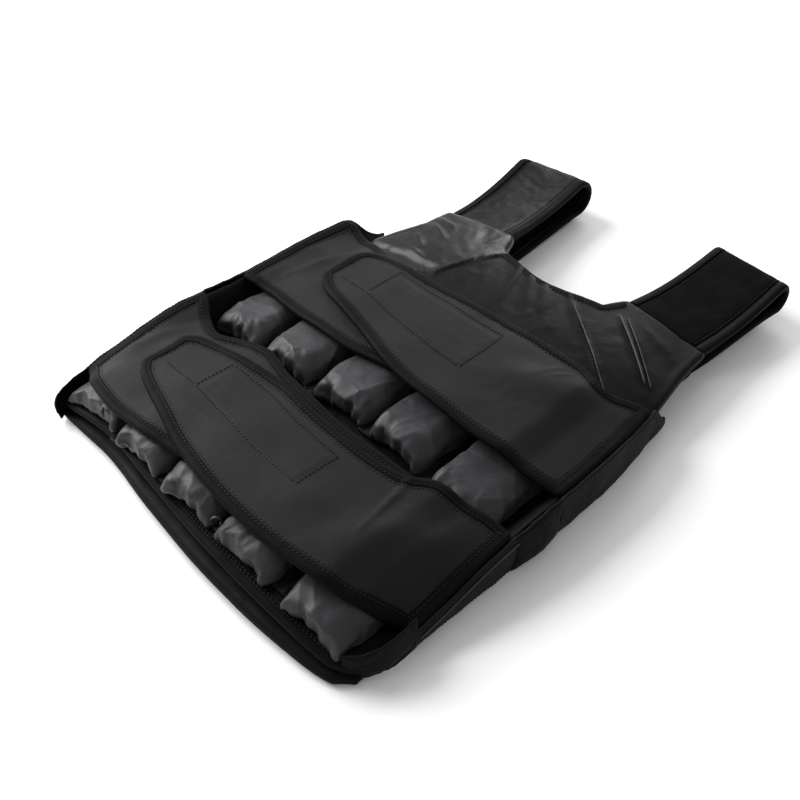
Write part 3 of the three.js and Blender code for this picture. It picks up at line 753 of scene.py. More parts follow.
@dataclass(frozen=True)
class Layers:
    """Sizes of the vest and the heights of its layers over the plan."""

    half_width: float = 184
    length: float = 418
    back_half: float = 178
    front_half: float = 179
    back_thickness: float = 15
    back_edge: float = 8
    armhole: float = 31
    yoke_shift: float = 8
    hem_flare: float = 16
    neck_half: float = 69.5
    neck_drop: float = 31
    neck_corner: float = 13
    hem_drop: float = 15
    front_inset: float = 5
    front_thickness: float = 6
    yoke_loft: float = 3
    crown: float = 14
    chest_lift: float = 24
    layer_gap: float = 0.6
    tape_width: float = 9
    tape_proud: float = 0.4
    pouch_rise: float = 22
    side_fall: float = 20
    crown_line: Curve = Curve(AT, (0.62, 0.7, 0.74, 0.88, 0.93, 1, 1, 0.85, 0.65, 0.54, 0.45))
    lift_line: Curve = Curve(AT, (0, 0, 0, 0, 0.01, 0.03, 0.12, 0.5, 0.8, 0.93, 1))
    load_line: Curve = Curve(AT, (0.62, 0.82, 0.9, 1, 0.95, 1, 1, 0.4, 0, 0, 0))
    narrow_line: Curve = Curve(AT, (-0.15, -0.1, 0, 0, 0, 0, 0.06, 0.32, 0.64, 0.93, 1))
    loft_line: Curve = Curve(AT, (0, 0, 0, 0, 0, 0, 0, 0.7, 1, 0.95, 0.8))
    flare_line: Curve = Curve(AT, (1, 0.85, 0, 0, 0, 0, 0, 0, 0, 0, 0))
    shift_line: Curve = Curve(AT, (0, 0, 0, 0, 0, 0, 0, 0.1, 0.5, 0.95, 1))
    left_fall: Curve = Curve(AT, (0.5, 0.48, 0.45, 0.1, -0.6, -0.45, -0.5, -0.6, 0, 0, 0))
    right_fall: Curve = Curve(AT, (1.3, 1.3, 1.25, 1.05, 0.2, 0, 0, 0.1, 0, 0, 0))
    hem_line: Curve = Curve(
        (-1.14, -1.08, -1, -0.7, -0.22, 0.19, 0.5, 0.79, 0.93, 1),
        (0.19, 0.125, 0.1, 0.105, 0.05, 0.01, 0, 0.01, 0.03, 0.09),
    )

    def narrowing(self, y: Array) -> Array:
        """How far the body draws in at a height."""
        return self.armhole * self.narrow_line(np.asarray(y) / self.length)

    def shift(self, y: Array) -> Array:
        """How far the yoke lies to the right."""
        return self.yoke_shift * self.shift_line(np.asarray(y) / self.length)

    def flare(self, y: Array) -> Array:
        """How far the lower left corner stands out."""
        return self.hem_flare * self.flare_line(np.asarray(y) / self.length)

    def back_top(self, x: Array, y: Array) -> Array:
        """Upper side of the back panel."""
        outward = np.minimum(np.abs(x) / (self.back_half - self.narrowing(y)), 1)
        return mix(self.back_thickness, self.back_edge, outward**3)

    def front_under(self, x: Array, y: Array) -> Array:
        """Underside of the front panel."""
        at = np.asarray(y) / self.length
        half = self.front_half - self.narrowing(y) + np.where(np.asarray(x) < 0, self.flare(y), 0)
        outward = np.minimum(np.abs(x - self.shift(y)) / half, 1)
        arch = self.crown * self.crown_line(at) * (1 - outward**2.2)
        return self.back_top(x, y) + self.layer_gap + arch + self.chest_lift * self.lift_line(at)

    def front_top(self, x: Array, y: Array) -> Array:
        """Upper side of the front panel, without its welts."""
        loft = self.yoke_loft * self.loft_line(np.asarray(y) / self.length)
        return self.front_under(x, y) + self.front_thickness + loft

    def pouch_under(self, x: Array, y: Array) -> Array:
        """Level that the pouches lie on."""
        return self.front_top(x, y) + self.tape_proud + self.layer_gap

    def pouch_height(self, x: Array, y: Array) -> Array:
        """Height of the pouches."""
        at = np.asarray(y) / self.length
        fall = self.side_fall * np.where(np.asarray(x) < 0, self.left_fall(at), self.right_fall(at))
        outward = smooth(np.abs(x), self.front_half - 29.5, self.half_width)
        return np.maximum(self.pouch_rise * self.load_line(at) - fall * outward, 0)

    def wrap_bed(self, x: Array, y: Array) -> Array:
        """Level that the wraps lie on."""
        return self.pouch_under(x, y) + self.pouch_height(x, y) + 0.8 + self.tape_proud

    def hem(self, x: Array, half: float) -> Array:
        """Hem of a panel."""
        return half * self.hem_line(np.asarray(x) / half) - self.hem_drop

    def neck(self, x: Array, drop: float) -> Array:
        """Top edge of a panel, which drops from the strap seams to the neck."""
        away = self.neck_half - np.abs(np.asarray(x) - self.yoke_shift)
        turn = mix(smooth(away, 0, self.neck_half), smooth(away, 0, self.neck_corner), 0.6)
        return self.length - drop * turn

    def front_across(self, u: Array, y: Array) -> Array:
        """Place across the front panel of a column, from 0 to 1."""
        half = self.front_half - self.narrowing(y)
        neck = half / (self.front_half - self.armhole) * self.neck_half
        left = -mix(half + self.flare(y), neck, u / 0.25)
        right = mix(neck, half, (u - 0.75) / 0.25)
        middle = mix(-neck, neck, (u - 0.25) / 0.5)
        return self.shift(y) + np.where(u < 0.25, left, np.where(u > 0.75, right, middle))


LAYERS = Layers()


def share_grid(rows: int, columns: int) -> tuple[Array, Array]:
    """Shares across and along for a grid of points."""
    return np.meshgrid(np.linspace(0, 1, columns), np.linspace(0, 1, rows))


def as_points(x: Array, y: Array, z: Array) -> Array:
    """Stacks coordinates into points."""
    x, y, z = np.broadcast_arrays(x, y, z)
    return np.stack([x, y, z], -1)


@dataclass
class BackPanel:
    """The padded back that the vest lies on."""

    rows: int = 84
    columns: int = 70
    rim_round: float = 4
    top_rise: float = 14
    quilt_pitch: float = 62
    quilt_depth: float = 1.6

    def build(self) -> None:
        """Builds the padded panel with its quilted seams."""
        u, v = share_grid(self.rows, self.columns)
        top = LAYERS.length + self.top_rise
        half = LAYERS.back_half - LAYERS.narrowing(v * top) - self.rim_round
        x = mix(-half - 0.8 * LAYERS.flare(v * top), half, u)
        lowest = LAYERS.hem(x, LAYERS.back_half) + self.rim_round
        highest = LAYERS.neck(x, LAYERS.neck_drop) + self.top_rise - self.rim_round
        y = mix(lowest, highest, v)
        seam = np.exp(-(((y + 20) % self.quilt_pitch - self.quilt_pitch / 2) / 2.2) ** 2)
        rim = np.minimum(np.minimum(u, 1 - u), np.minimum(v, 1 - v))
        soft = smooth(rim, 0, 0.03)
        upper = LAYERS.back_top(x, y) - self.quilt_depth * seam * soft - 1.2 * (1 - soft)
        upper = upper + 0.4 * creases(x, y, 34, 11)
        under = 1.2 * (1 - soft)
        points, faces = closed_sheet(as_points(x, y, under), as_points(x, y, upper), 0.42)
        piece = make_piece("back_padding", points, faces, LINING, ["back_panel"])


@dataclass
class FrontPanel:
    """The padded front: pocket base below, wrinkled yoke above."""

    rows: int = 170
    columns: int = 136
    pocket_end: float = 270
    welts: Sequence[Fold] = (
        Fold(50, 377, 136, 316, 2.2, 1.8, 0.6),
        Fold(86, 396, 146, 352, 2.2, 2.6, 0.6),
        Fold(93, 398, 153, 352, 1.8, 2.0, 0.0),
        Fold(-20, 392, -2, 340, 5.0, 1.8, 0.5),
        Fold(-6, 388, 24, 342, 4.5, 1.5, 0.3),
        Fold(12, 386, 36, 352, 5.0, 1.4, 0.4),
        Fold(34, 392, 64, 362, 4.0, 1.3, 0.5),
        Fold(-140, 372, -112, 352, 3.6, 1.8, 0.4),
        Fold(-136, 392, -104, 376, 4.0, 2.0, 0.4),
        Fold(-142, 404, -112, 396, 4.0, 1.8, 0.2),
        Fold(-128, 348, -96, 338, 5.0, 1.6, 0.3),
        Fold(104, 404, 146, 392, 5.0, 1.2, 0.2),
        Fold(92, 348, 116, 332, 3.0, 1.2, 0.6),
    )

    def patch(self, x: Array, y: Array) -> Array:
        """Height of the loose left shoulder patch, which ends in a turned edge.

        Args:
            x: Places across.
            y: Places along.

        Returns:
            Heights in millimetres.
        """
        edge = Curve(PLEAT_X[1:], PLEAT_Y[1:])(np.clip(x, PLEAT_X[1], PLEAT_X[-1]))
        inside = smooth(edge - y + 34, 26, 34) * smooth(-x, 38, 62)
        lip = np.exp(-(((y - edge) / 4.5) ** 2)) * smooth(-x, 40, 52) * smooth(x, -84, -70)
        return 2.2 * (1 - inside) * smooth(-x, 40, 60) * smooth(y, 325, 345) + 2.4 * lip

    def top(self, x: Array, y: Array) -> Array:
        """Upper side of the panel with its welts and wrinkles.

        Args:
            x: Places across.
            y: Places along.

        Returns:
            Heights in millimetres.
        """
        yoke = smooth(y, 290, 335)
        height = LAYERS.front_top(x, y) + sum(fold.rise(x, y) for fold in self.welts)
        calm = 0.4 + 0.9 * smooth(-x, 10, 70) + 0.5 * smooth(-np.abs(x - 12), -36, -8)
        broad = 0.7 * creases(x * 1.4 + y * 0.5, y - x * 0.3, 46, 3)
        height = height + yoke * calm * (broad + 0.16 * creases(x, y, 16, 7))
        return height + yoke * self.patch(x, y) + (1 - yoke) * 0.5 * (creases(x, y, 18, 5) - 0.6)

    def build(self) -> None:
        """Builds the panel."""
        u, v = share_grid(self.rows, self.columns)
        corners = smooth(np.abs(u - 0.5), 0.44, 0.5) * smooth(-v, -0.2, -0.1)
        x = LAYERS.front_across(u, v * LAYERS.length) - 3 * np.sign(u - 0.5) * corners
        low = LAYERS.hem(x, LAYERS.front_half) + LAYERS.front_inset + LAYERS.tape_width * 0.5
        y = mix(low, LAYERS.neck(x, LAYERS.neck_drop + LAYERS.tape_width * 0.5), v)
        under = as_points(x, y, LAYERS.front_under(x, y))
        points, faces = closed_sheet(under, as_points(x, y, self.top(x, y)), 0.4)
        piece = make_piece("front_padding", points, faces, SHELL, ["front_panel"], self.pocket_end)


@dataclass
class ChestHighlightPiping:
    """Thin raised piping on the right of the yoke, in cloths lighter than the yoke's, which paint the
    highlight along the welt ridges.
    """

    # Painted highlight: each cord's light cloth stands in for the highlight along its welt ridge.
    lines: Sequence[tuple[int, float, Cloth]] = ((0, 0.9, SHELL_PAINTED_SHEEN_CLOTH), (1, 1.0, POUCH_CLOTH), (2, 0.8, SHELL_PAINTED_SHEEN_CLOTH))

    def build(self) -> None:
        """Lays a fine cord along each of the yoke's first welts."""
        panel = FrontPanel()
        angle = np.arange(8) * np.pi / 4
        for index, radius, cloth in self.lines:
            welt = panel.welts[index]
            t = np.linspace(-0.05, 1.03, 110)
            x, y = mix(welt.x0, welt.x1, t), mix(welt.y0, welt.y1, t)
            run = np.array([welt.x1 - welt.x0, welt.y1 - welt.y0])
            run = run / np.linalg.norm(run)
            z = panel.top(x, y) + 0.1
            size = radius * np.sqrt(smooth(0.54 - np.abs(t - 0.49), -0.002, 0.05))[:, None]
            px = x[:, None] - run[1] * size * np.cos(angle)
            py = y[:, None] + run[0] * size * np.cos(angle)
            points, faces = open_tube(as_points(px, py, z[:, None] + size * np.sin(angle)))
            make_piece(f"chest_piping_{index + 1}", points, faces, cloth)


@dataclass
class EdgeTapes:
    """Tape folded over the hem and the neckline of the front panel."""

    steps: int = 400
    section: int = 16
    side_reach: float = 40
    side_steps: int = 30

    def tape(self, name: str, path: Array, inward: float, node: str) -> None:
        """A rounded tape along an edge of the front panel.

        Args:
            name: The piece's name.
            path: Points of the edge in the plan.
            inward: 1 where the panel lies to the left of the path, -1 where it lies to the right.
            node: CAD node that the tape replaces.
        """
        angle = np.linspace(0, 2 * np.pi, self.section, endpoint=False)[None]
        tangent = np.gradient(path, axis=0)
        normal = np.stack([-tangent[:, 1], tangent[:, 0]], -1) * inward
        normal /= np.linalg.norm(normal, axis=1, keepdims=True)
        half = LAYERS.tape_width / 2
        out = half * np.sign(np.cos(angle)) * np.abs(np.cos(angle)) ** 0.6
        px = path[:, :1] + normal[:, :1] * (half + out)
        py = path[:, 1:] + normal[:, 1:] * (half + out)
        low, high = LAYERS.front_under(px, py), LAYERS.front_top(px, py) + LAYERS.tape_proud + 0.5
        rise = 0.5 + 0.5 * np.sign(np.sin(angle)) * np.abs(np.sin(angle)) ** 0.55
        pz = mix(low, high, rise) + 0.25 * lattice(px / 9, py / 9, 4)
        step = np.arange(len(path))[:, None]
        taper = np.sqrt(smooth(np.minimum(step, len(path) - 1 - step), -0.5, 9))
        pz = mix(low - 0.5, pz, taper)
        band = as_points(px, py, pz)
        points, faces = open_tube(band if inward > 0 else band[:, ::-1])
        make_piece(name, points, faces, TAPE, [node])
        rows = []
        for inset in (6.2, 8.0):
            sx, sy = path[:, 0] + normal[:, 0] * inset, path[:, 1] + normal[:, 1] * inset
            rows.append(as_points(sx, sy, LAYERS.front_top(sx, sy) + LAYERS.tape_proud + 0.35))
        Seam().sew(name + "_stitches", rows)

    def eased(self, path: Array, softness: float) -> Array:
        """Rounds the corners of a path.

        Args:
            path: Points of the path.
            softness: Radius to round to, in millimetres.

        Returns:
            Evenly spread points of the rounded path.
        """
        run = np.append(0, np.cumsum(np.linalg.norm(np.diff(path, axis=0), axis=1)))
        at = np.linspace(0, run[-1], self.steps)
        even = np.stack([np.interp(at, run, path[:, k]) for k in range(2)], -1)
        reach = int(3 * softness / at[1])
        kernel = np.exp(-0.5 * (np.arange(-reach, reach + 1) * at[1] / softness) ** 2)
        kernel /= kernel.sum()
        before, after = 2 * even[:1] - even[reach:0:-1], 2 * even[-1:] - even[-2 : -reach - 2 : -1]
        padded = np.concatenate([before, even, after])
        return np.stack([np.convolve(padded[:, k], kernel, "valid") for k in range(2)], -1)

    def build(self) -> None:
        """Builds both tapes."""
        u = np.linspace(0, 1, self.steps)
        x = LAYERS.front_across(u, 0 * u)
        hem = np.stack([x, LAYERS.hem(x, LAYERS.front_half) + LAYERS.front_inset], -1)
        left_y = np.linspace(self.side_reach, hem[0, 1] + 1, self.side_steps)
        right_y = np.linspace(hem[-1, 1] + 1, self.side_reach, self.side_steps)
        left = np.stack([LAYERS.front_across(0 * left_y, left_y), left_y], -1)
        right = np.stack([LAYERS.front_across(0 * right_y + 1, right_y), right_y], -1)
        self.tape("hem_tape", self.eased(np.concatenate([left, hem, right]), 5), 1, "hem_binding")
        reach = LAYERS.neck_half - 1.5
        across = LAYERS.yoke_shift + reach * np.sin(np.linspace(-0.5, 0.5, self.steps) * np.pi)
        neck = np.stack([across, LAYERS.neck(across, LAYERS.neck_drop) - 0.5], -1)
        self.tape("neck_tape", neck, -1, "neck_binding")


# ------------------------------------------------------------------ pouches
@dataclass(frozen=True)
class PouchPose:
    """How a pouch lies in its place."""

    across: float
    along: float
    turn: float
    wide: float
    full: float


@dataclass
class WeightPouches:
    """Two rows of filled pouches with gathered ends."""

    width: float = 61
    length: float = 100
    lower_at: float = 5
    upper_at: float = 147
    rise: float = 22
    lean: float = 0.5
    rows: int = 46
    columns: int = 32
    lower: Sequence[PouchPose] = (
        PouchPose(-0.12, 0.08, 1, 1.27, 0.96),
        PouchPose(0.01, 0.0, -1, 1, 1.0),
        PouchPose(-0.02, -0.05, 1, 1, 0.97),
        PouchPose(0.01, -0.08, -1, 1, 1.0),
        PouchPose(0.08, -0.1, 1, 1, 0.94),
    )
    upper: Sequence[PouchPose] = (
        PouchPose(-0.05, 0.08, 1, 1, 0.97),
        PouchPose(0, 0.05, -1, 1, 1.0),
        PouchPose(-0.01, 0.03, 1, 1, 1.0),
        PouchPose(-0.03, 0.01, -1, 1, 0.96),
        PouchPose(-0.02, -0.07, 1, 1, 0.98),
    )

    def pouch(self, name: str, middle_x: float, start_y: float, pose: PouchPose, seed: int) -> None:
        """Builds one pouch.

        Args:
            name: Name of the piece; the node has the same name with weight_ before it.
            middle_x: Middle of its place.
            start_y: Lower end of its place.
            pose: How it lies.
            seed: Pattern of its creases.
        """
        u, v = share_grid(self.rows, self.columns)
        across, end = 2 * u - 1, 2 * v - 1
        across = np.sign(across) * np.abs(across) ** 0.8
        end = np.sign(end) * np.abs(end) ** 0.8
        half = pose.wide * self.width / 2 - 4 * np.abs(end) ** 5
        half = half + 1.2 * lattice(3 * end + seed, 0.3 * np.sign(across), seed)
        ragged = 1.4 * lattice(4 * across, seed + 0 * end, seed + 2) * np.abs(end) ** 3
        px, py = across * half, end * self.length / 2 + ragged
        turn = math.radians(pose.turn)
        middle_y = start_y + self.length / 2
        x = middle_x + pose.across * POUCH_PITCH + px * math.cos(turn) - py * math.sin(turn)
        y = middle_y + pose.along * POUCH_PITCH + px * math.sin(turn) + py * math.cos(turn)
        round_ = np.sqrt(np.clip((1 - np.abs(across) ** 3.4) * (1 - np.abs(end) ** 5), 0, 1))
        gathers = np.cos((7 + seed % 3) * across + 2 * lattice(2 * across, end, seed))
        pleats = 0.07 * np.abs(end) ** 4 * gathers
        lean = 1 - self.lean * smooth(across, 0.3, 1)
        under = LAYERS.pouch_under(x, y)
        share = pose.full * lean * (mix(0.3, 0.88, round_) + pleats)
        upper = under + np.maximum(share, 0.12) * LAYERS.pouch_height(x, y)
        points, faces = closed_sheet(as_points(x, y, under + 0.2), as_points(x, y, upper), 0.34)
        points = inflated(points, faces, pressure=3.0, slack=0.07, limit=4.0)
        points, faces = finer(points, faces)
        fine_x, fine_y = points[:, 0] - x.mean(), points[:, 1] - y.mean()
        floor = LAYERS.pouch_under(points[:, 0], points[:, 1]) + 0.2
        ceiling = LAYERS.pouch_height(points[:, 0], points[:, 1])
        raised = smooth(points[:, 2] - floor, 0.15 * self.rise, 0.6 * self.rise)
        folds = 2.6 * wrinkles(fine_x, fine_y, seed, 22, (30, 50)) + 0.7 * creases(fine_x, fine_y, 20, seed)
        height = np.maximum(points[:, 2] - floor + raised * folds, 0) / np.maximum(ceiling, 1)
        limit = mix(1.0, 1.14, smooth(-fine_y, self.length * 0.28, self.length * 0.42))
        height = limit - np.log1p(np.exp((limit - height) * 12)) / 12 + 0.02
        points[:, 2] = floor + np.maximum(height, 0) * ceiling
        piece = make_piece(name, points, faces, POUCH_CLOTH, ["weight_" + name])

    def build(self) -> None:
        """Builds both rows."""
        rows = (("lower", self.lower_at, self.lower, 3), ("upper", self.upper_at, self.upper, 61))
        for row, start_y, poses, seed in rows:
            for index, pose in enumerate(poses):
                middle_x = (index - 2) * POUCH_PITCH
                self.pouch(f"pouch_{row}_{index + 1}", middle_x, start_y, pose, 10 * index + seed)


@dataclass
class PullLoops:
    """Small ribbon loops at the corners of two lower pouches."""

    places: Sequence[tuple[float, float, float]] = ((35, 4, 40), (-122, 11, 150))
    radius: float = 3.6
    ribbon: float = 2.4
    sunk: float = 5

    def build(self) -> None:
        """Builds both loops as one piece."""
        bend = np.radians(np.linspace(-50, 230, 28))[:, None]
        corner = np.radians(np.arange(8) * 45.0)[None]
        loops = []
        for x, y, turn in self.places:
            flat, thick = self.ribbon / 2 * np.cos(corner), 0.35 * np.sin(corner)
            out = (self.radius + thick) * np.cos(bend)
            away = math.radians(turn)
            px = x + out * math.cos(away) - flat * math.sin(away)
            py = y + out * math.sin(away) + flat * math.cos(away)
            rooted = LAYERS.wrap_bed(np.array(x), np.array(y)) - self.sunk
            pz = rooted + (self.radius + thick) * np.sin(bend)
            loops.append(open_tube(as_points(px, py, pz)))
        make_piece("pull_loops", *joined(loops), POUCH_CLOTH)


@dataclass
class SideLining:
    """Dark cloth that closes the body between the outer pouches and the sides."""

    rows: int = 60
    columns: int = 16
    start: float = 130
    end: float = 262
    far: float = 160

    def build(self) -> None:
        """Builds a strip on each side."""
        for side, word in ((-1, "left"), (1, "right")):
            u, v = share_grid(self.rows, self.columns)
            y = mix(self.start, self.end, v)
            near, far = LAYERS.half_width - 0.6, self.far
            drawn_in = LAYERS.narrowing(y) if side > 0 else 0
            x = side * (mix(near, far, u if side < 0 else 1 - u) - drawn_in)
            top = LAYERS.wrap_bed(side * near, y) + 1.5
            outer = smooth(np.abs(x), far, near)
            crumple = 1.4 * creases(x, y, 24, 70) * np.sin(np.pi * outer)
            z = mix(LAYERS.front_top(x, y) + 2, top, outer) + crumple
            points, faces = closed_sheet(as_points(x, y, z - 1.2), as_points(x, y, z), 0.2)
            piece = make_piece("side_lining_" + word, points, faces, LINING)
            as_points(x, y, z)


@dataclass
class RecessShadeCloth:
    """Dark crumpled cloth that lines the gaps between the pouches; its dark colour also paints the shade in
    these recesses.
    """

    rows: int = 50
    columns: int = 15
    width: float = 15
    length: float = 98
    lower_at: float = 4
    upper_at: float = 146
    lower_shift: Sequence[float] = (4, 0, -1, 2)
    upper_shift: Sequence[float] = (-2, 0, -1, -2)

    def build(self) -> None:
        """Builds a gathered strip in each gap."""
        rows = (("lower", self.lower_at, self.lower_shift), ("upper", self.upper_at, self.upper_shift))
        for row, start, shift in rows:
            for index, move in enumerate(shift):
                centre = (index - 1.5) * POUCH_PITCH + move
                u, v = share_grid(self.rows, self.columns)
                x = centre + (u - 0.5) * self.width
                y = start + self.length * v
                folds = 0.5 + 0.5 * np.cos(2 * np.pi * (1.5 * u + 0.4 * lattice(3 * v, 0 * u, index)))
                share = 0.08 + 0.16 * folds * np.sin(np.pi * v) ** 0.4
                height = LAYERS.pouch_under(x, y) + LAYERS.pouch_height(x, y) * share
                height = height + 0.8 * creases(x, y, 9, index + 30)
                base = LAYERS.pouch_under(x, y) + 0.1
                upper = np.maximum(height, base + 0.6)
                points, faces = closed_sheet(as_points(x, y, base), as_points(x, y, upper), 0.2)
                # The strips are partly the cloth in the gaps and partly painted shade in the recesses beside
                # the pouches.
                make_piece(f"recess_{row}_{index + 1}", points, faces, LINING)


# ------------------------------------------------------------------ wraps
# The tape's section: how far in from the wrap's edge, and how high over the wrap's underside.
TAPE_PROFILE = (
    (9.0, -0.4), (7.5, -0.75), (3.0, -0.7), (0.8, -0.1), (0.0, 1.2), (0.0, 2.6), (0.8, 3.9),
    (2.6, 4.55), (5.0, 4.6), (6.9, 4.15), (7.7, 4.2), (8.7, 4.25), (9.1, 3.7), (9.1, 3.2),
)


@dataclass
class Wrap:
    """A neoprene wrap with its tape and stitches."""

    name: str
    side: int
    start_y: float
    reach: float
    lower: Curve
    upper: Curve
    folds: Sequence[Fold]
    patch: Optional[tuple[float, float, float, float]] = None
    seed: int = 1
    thickness: float = 3.6
    width: float = 116
    columns: int = 150
    rows: int = 60
    edge_steps: int = 560
    under_reach: float = 112

    def face(self, x: Array, y: Array) -> Array:
        """Underside of the wrap.

        Args:
            x: Places across.
            y: Places along.

        Returns:
            Heights in millimetres.
        """
        height = LAYERS.wrap_bed(x, y) + sum(fold.rise(x, y) for fold in self.folds)
        pads = np.cos(2 * np.pi * x / POUCH_PITCH) * smooth(-np.abs(x), -170, -140)
        height = height + 0.55 * (1 + pads) * 0.8 + 0.9 * (1 + lattice(x / 48, y / 34, 8))
        if self.side > 0:
            height = height + 5.4 * (1 - smooth(x, self.under_reach + 16, self.under_reach + 40))
        return height

    def plan(self, u: Array, v: Array, inset: float) -> tuple[Array, Array]:
        """Plan of the wrap, drawn in all round.

        Args:
            u: Shares from left to right.
            v: Shares from lower to upper edge.
            inset: How far it is drawn in.

        Returns:
            Places across and along.
        """
        seam, tip = self.side * LAYERS.half_width, -self.side * self.reach
        from_seam = 1 - u if self.side > 0 else u
        x = mix(seam - self.side * inset, tip + self.side * inset, from_seam)
        at = (x - seam) / (tip - seam)
        low = self.start_y + self.width * self.lower(at) + inset
        high = self.start_y + self.width * self.upper(at) - inset
        y = mix(low, high, v)
        drawn_in = LAYERS.narrowing(y) if self.side > 0 else 0
        return x - self.side * drawn_in * (1 - at), y

    def outline(self) -> Array:
        """Outline of the wrap with rounded corners, as points in the plan.

        Returns:
            Points along the closed outline, anticlockwise.
        """
        quarter = self.edge_steps // 4
        t = np.arange(quarter * 2) / (quarter * 2)
        zero, one = np.zeros_like(t), np.ones_like(t)
        sides = [self.plan(a, b, 0) for a, b in ((t, zero), (one, t), (1 - t, one), (zero, 1 - t))]
        line = np.concatenate([np.stack(side, -1) for side in sides])
        line = self.resample(line, self.edge_steps)
        kernel = np.exp(-0.5 * (np.arange(-8, 9) / 2.6) ** 2)
        kernel /= kernel.sum()
        padded = np.concatenate([line[-8:], line, line[:8]])
        line = np.stack([np.convolve(padded[:, k], kernel, "valid") for k in range(2)], -1)
        return self.resample(line, self.edge_steps)

    def resample(self, line: Array, count: int) -> Array:
        """Spreads points evenly along a closed line.

        Args:
            line: Points of the line.
            count: How many to give.

        Returns:
            The evenly spread points.
        """
        closed = np.concatenate([line, line[:1]])
        run = np.append(0, np.cumsum(np.linalg.norm(np.diff(closed, axis=0), axis=1)))
        at = np.arange(count) / count * run[-1]
        return np.stack([np.interp(at, run, closed[:, k]) for k in range(2)], -1)

    def inward(self, line: Array) -> Array:
        """Directions into the wrap along its outline."""
        tangent = np.roll(line, -1, 0) - np.roll(line, 1, 0)
        normal = np.stack([-tangent[:, 1], tangent[:, 0]], -1)
        return normal / np.linalg.norm(normal, axis=1, keepdims=True)

    def build(self) -> None:
        """Builds the sheet, its tape, its stitches and its patch outline."""
        u, v = share_grid(self.rows, self.columns)
        x, y = self.plan(u, v, LAYERS.tape_width * 0.62)
        low = self.face(x, y)
        grain = 0.18 * creases(x, y, 30, self.seed)
        upper = low + self.thickness + grain + self.pressed(u, v)
        points, faces = closed_sheet(as_points(x, y, low), as_points(x, y, upper), 0.3)
        piece = make_piece("sheet_" + self.name, points, faces, NEOPRENE, ["wrap_" + self.name])
        as_points(x, y, upper)
        line = self.outline()
        inward = self.inward(line)
        inset, level = np.array(TAPE_PROFILE).T[:, None]
        px = line[:, :1] + inward[:, :1] * inset
        py = line[:, 1:] + inward[:, 1:] * inset
        pucker = 0.16 * lattice(np.arange(len(line))[:, None] / 4.5, inset / 5, self.seed)
        pz = self.face(px, py) + level + pucker
        points, faces = closed_tube(as_points(px, py, pz))
        make_piece("tape_" + self.name, points, faces[:, ::-1], TAPE, ["wrap_binding_" + self.name])
        rows = []
        closed, closed_in = np.concatenate([line, line[:1]]), np.concatenate([inward, inward[:1]])
        for inset, level in ((6.9, 4.3), (10.6, 3.75)):
            sx, sy = (closed + closed_in * inset).T
            rows.append(as_points(sx, sy, self.face(sx, sy) + level))
        rows.extend(self.patch_lines())
        Seam().sew("stitches_" + self.name, rows)

    def pressed(self, u: Array, v: Array) -> Array:
        """Height of the fastening patch where it shows through the wrap.

        Args:
            u: Shares from left to right.
            v: Shares from lower to upper edge.

        Returns:
            Heights in millimetres.
        """
        if not self.patch:
            return 0 * u
        near, far, low, high = self.patch
        along = smooth(u, near, near + 0.012) * smooth(-u, -far, 0.012 - far)
        across = smooth(v, low, low + 0.03) * smooth(-v, -high, 0.03 - high)
        ribs = 0.5 + 0.5 * np.cos(2 * np.pi * (v - low) * 9)
        return along * across * (0.45 + 0.12 * ribs)

    def patch_lines(self) -> list[Array]:
        """Stitched outline of the fastening patch under the wrap.

        Returns:
            Lines of points on the wrap's upper side.
        """
        if not self.patch:
            return []
        near, far, low, high = self.patch
        corners = [(0.06, low - 0.04), (near, low), (far, low + 0.03), (far, high), (near, high + 0.02)]
        corners.append(corners[1])
        lines = []
        for (u0, v0), (u1, v1) in zip(corners, corners[1:]):
            t = np.linspace(0, 1, 60)
            x, y = self.plan(mix(u0, u1, t), mix(v0, v1, t), 0)
            lines.append(as_points(x, y, self.face(x, y) + self.thickness + 0.45))
        return lines


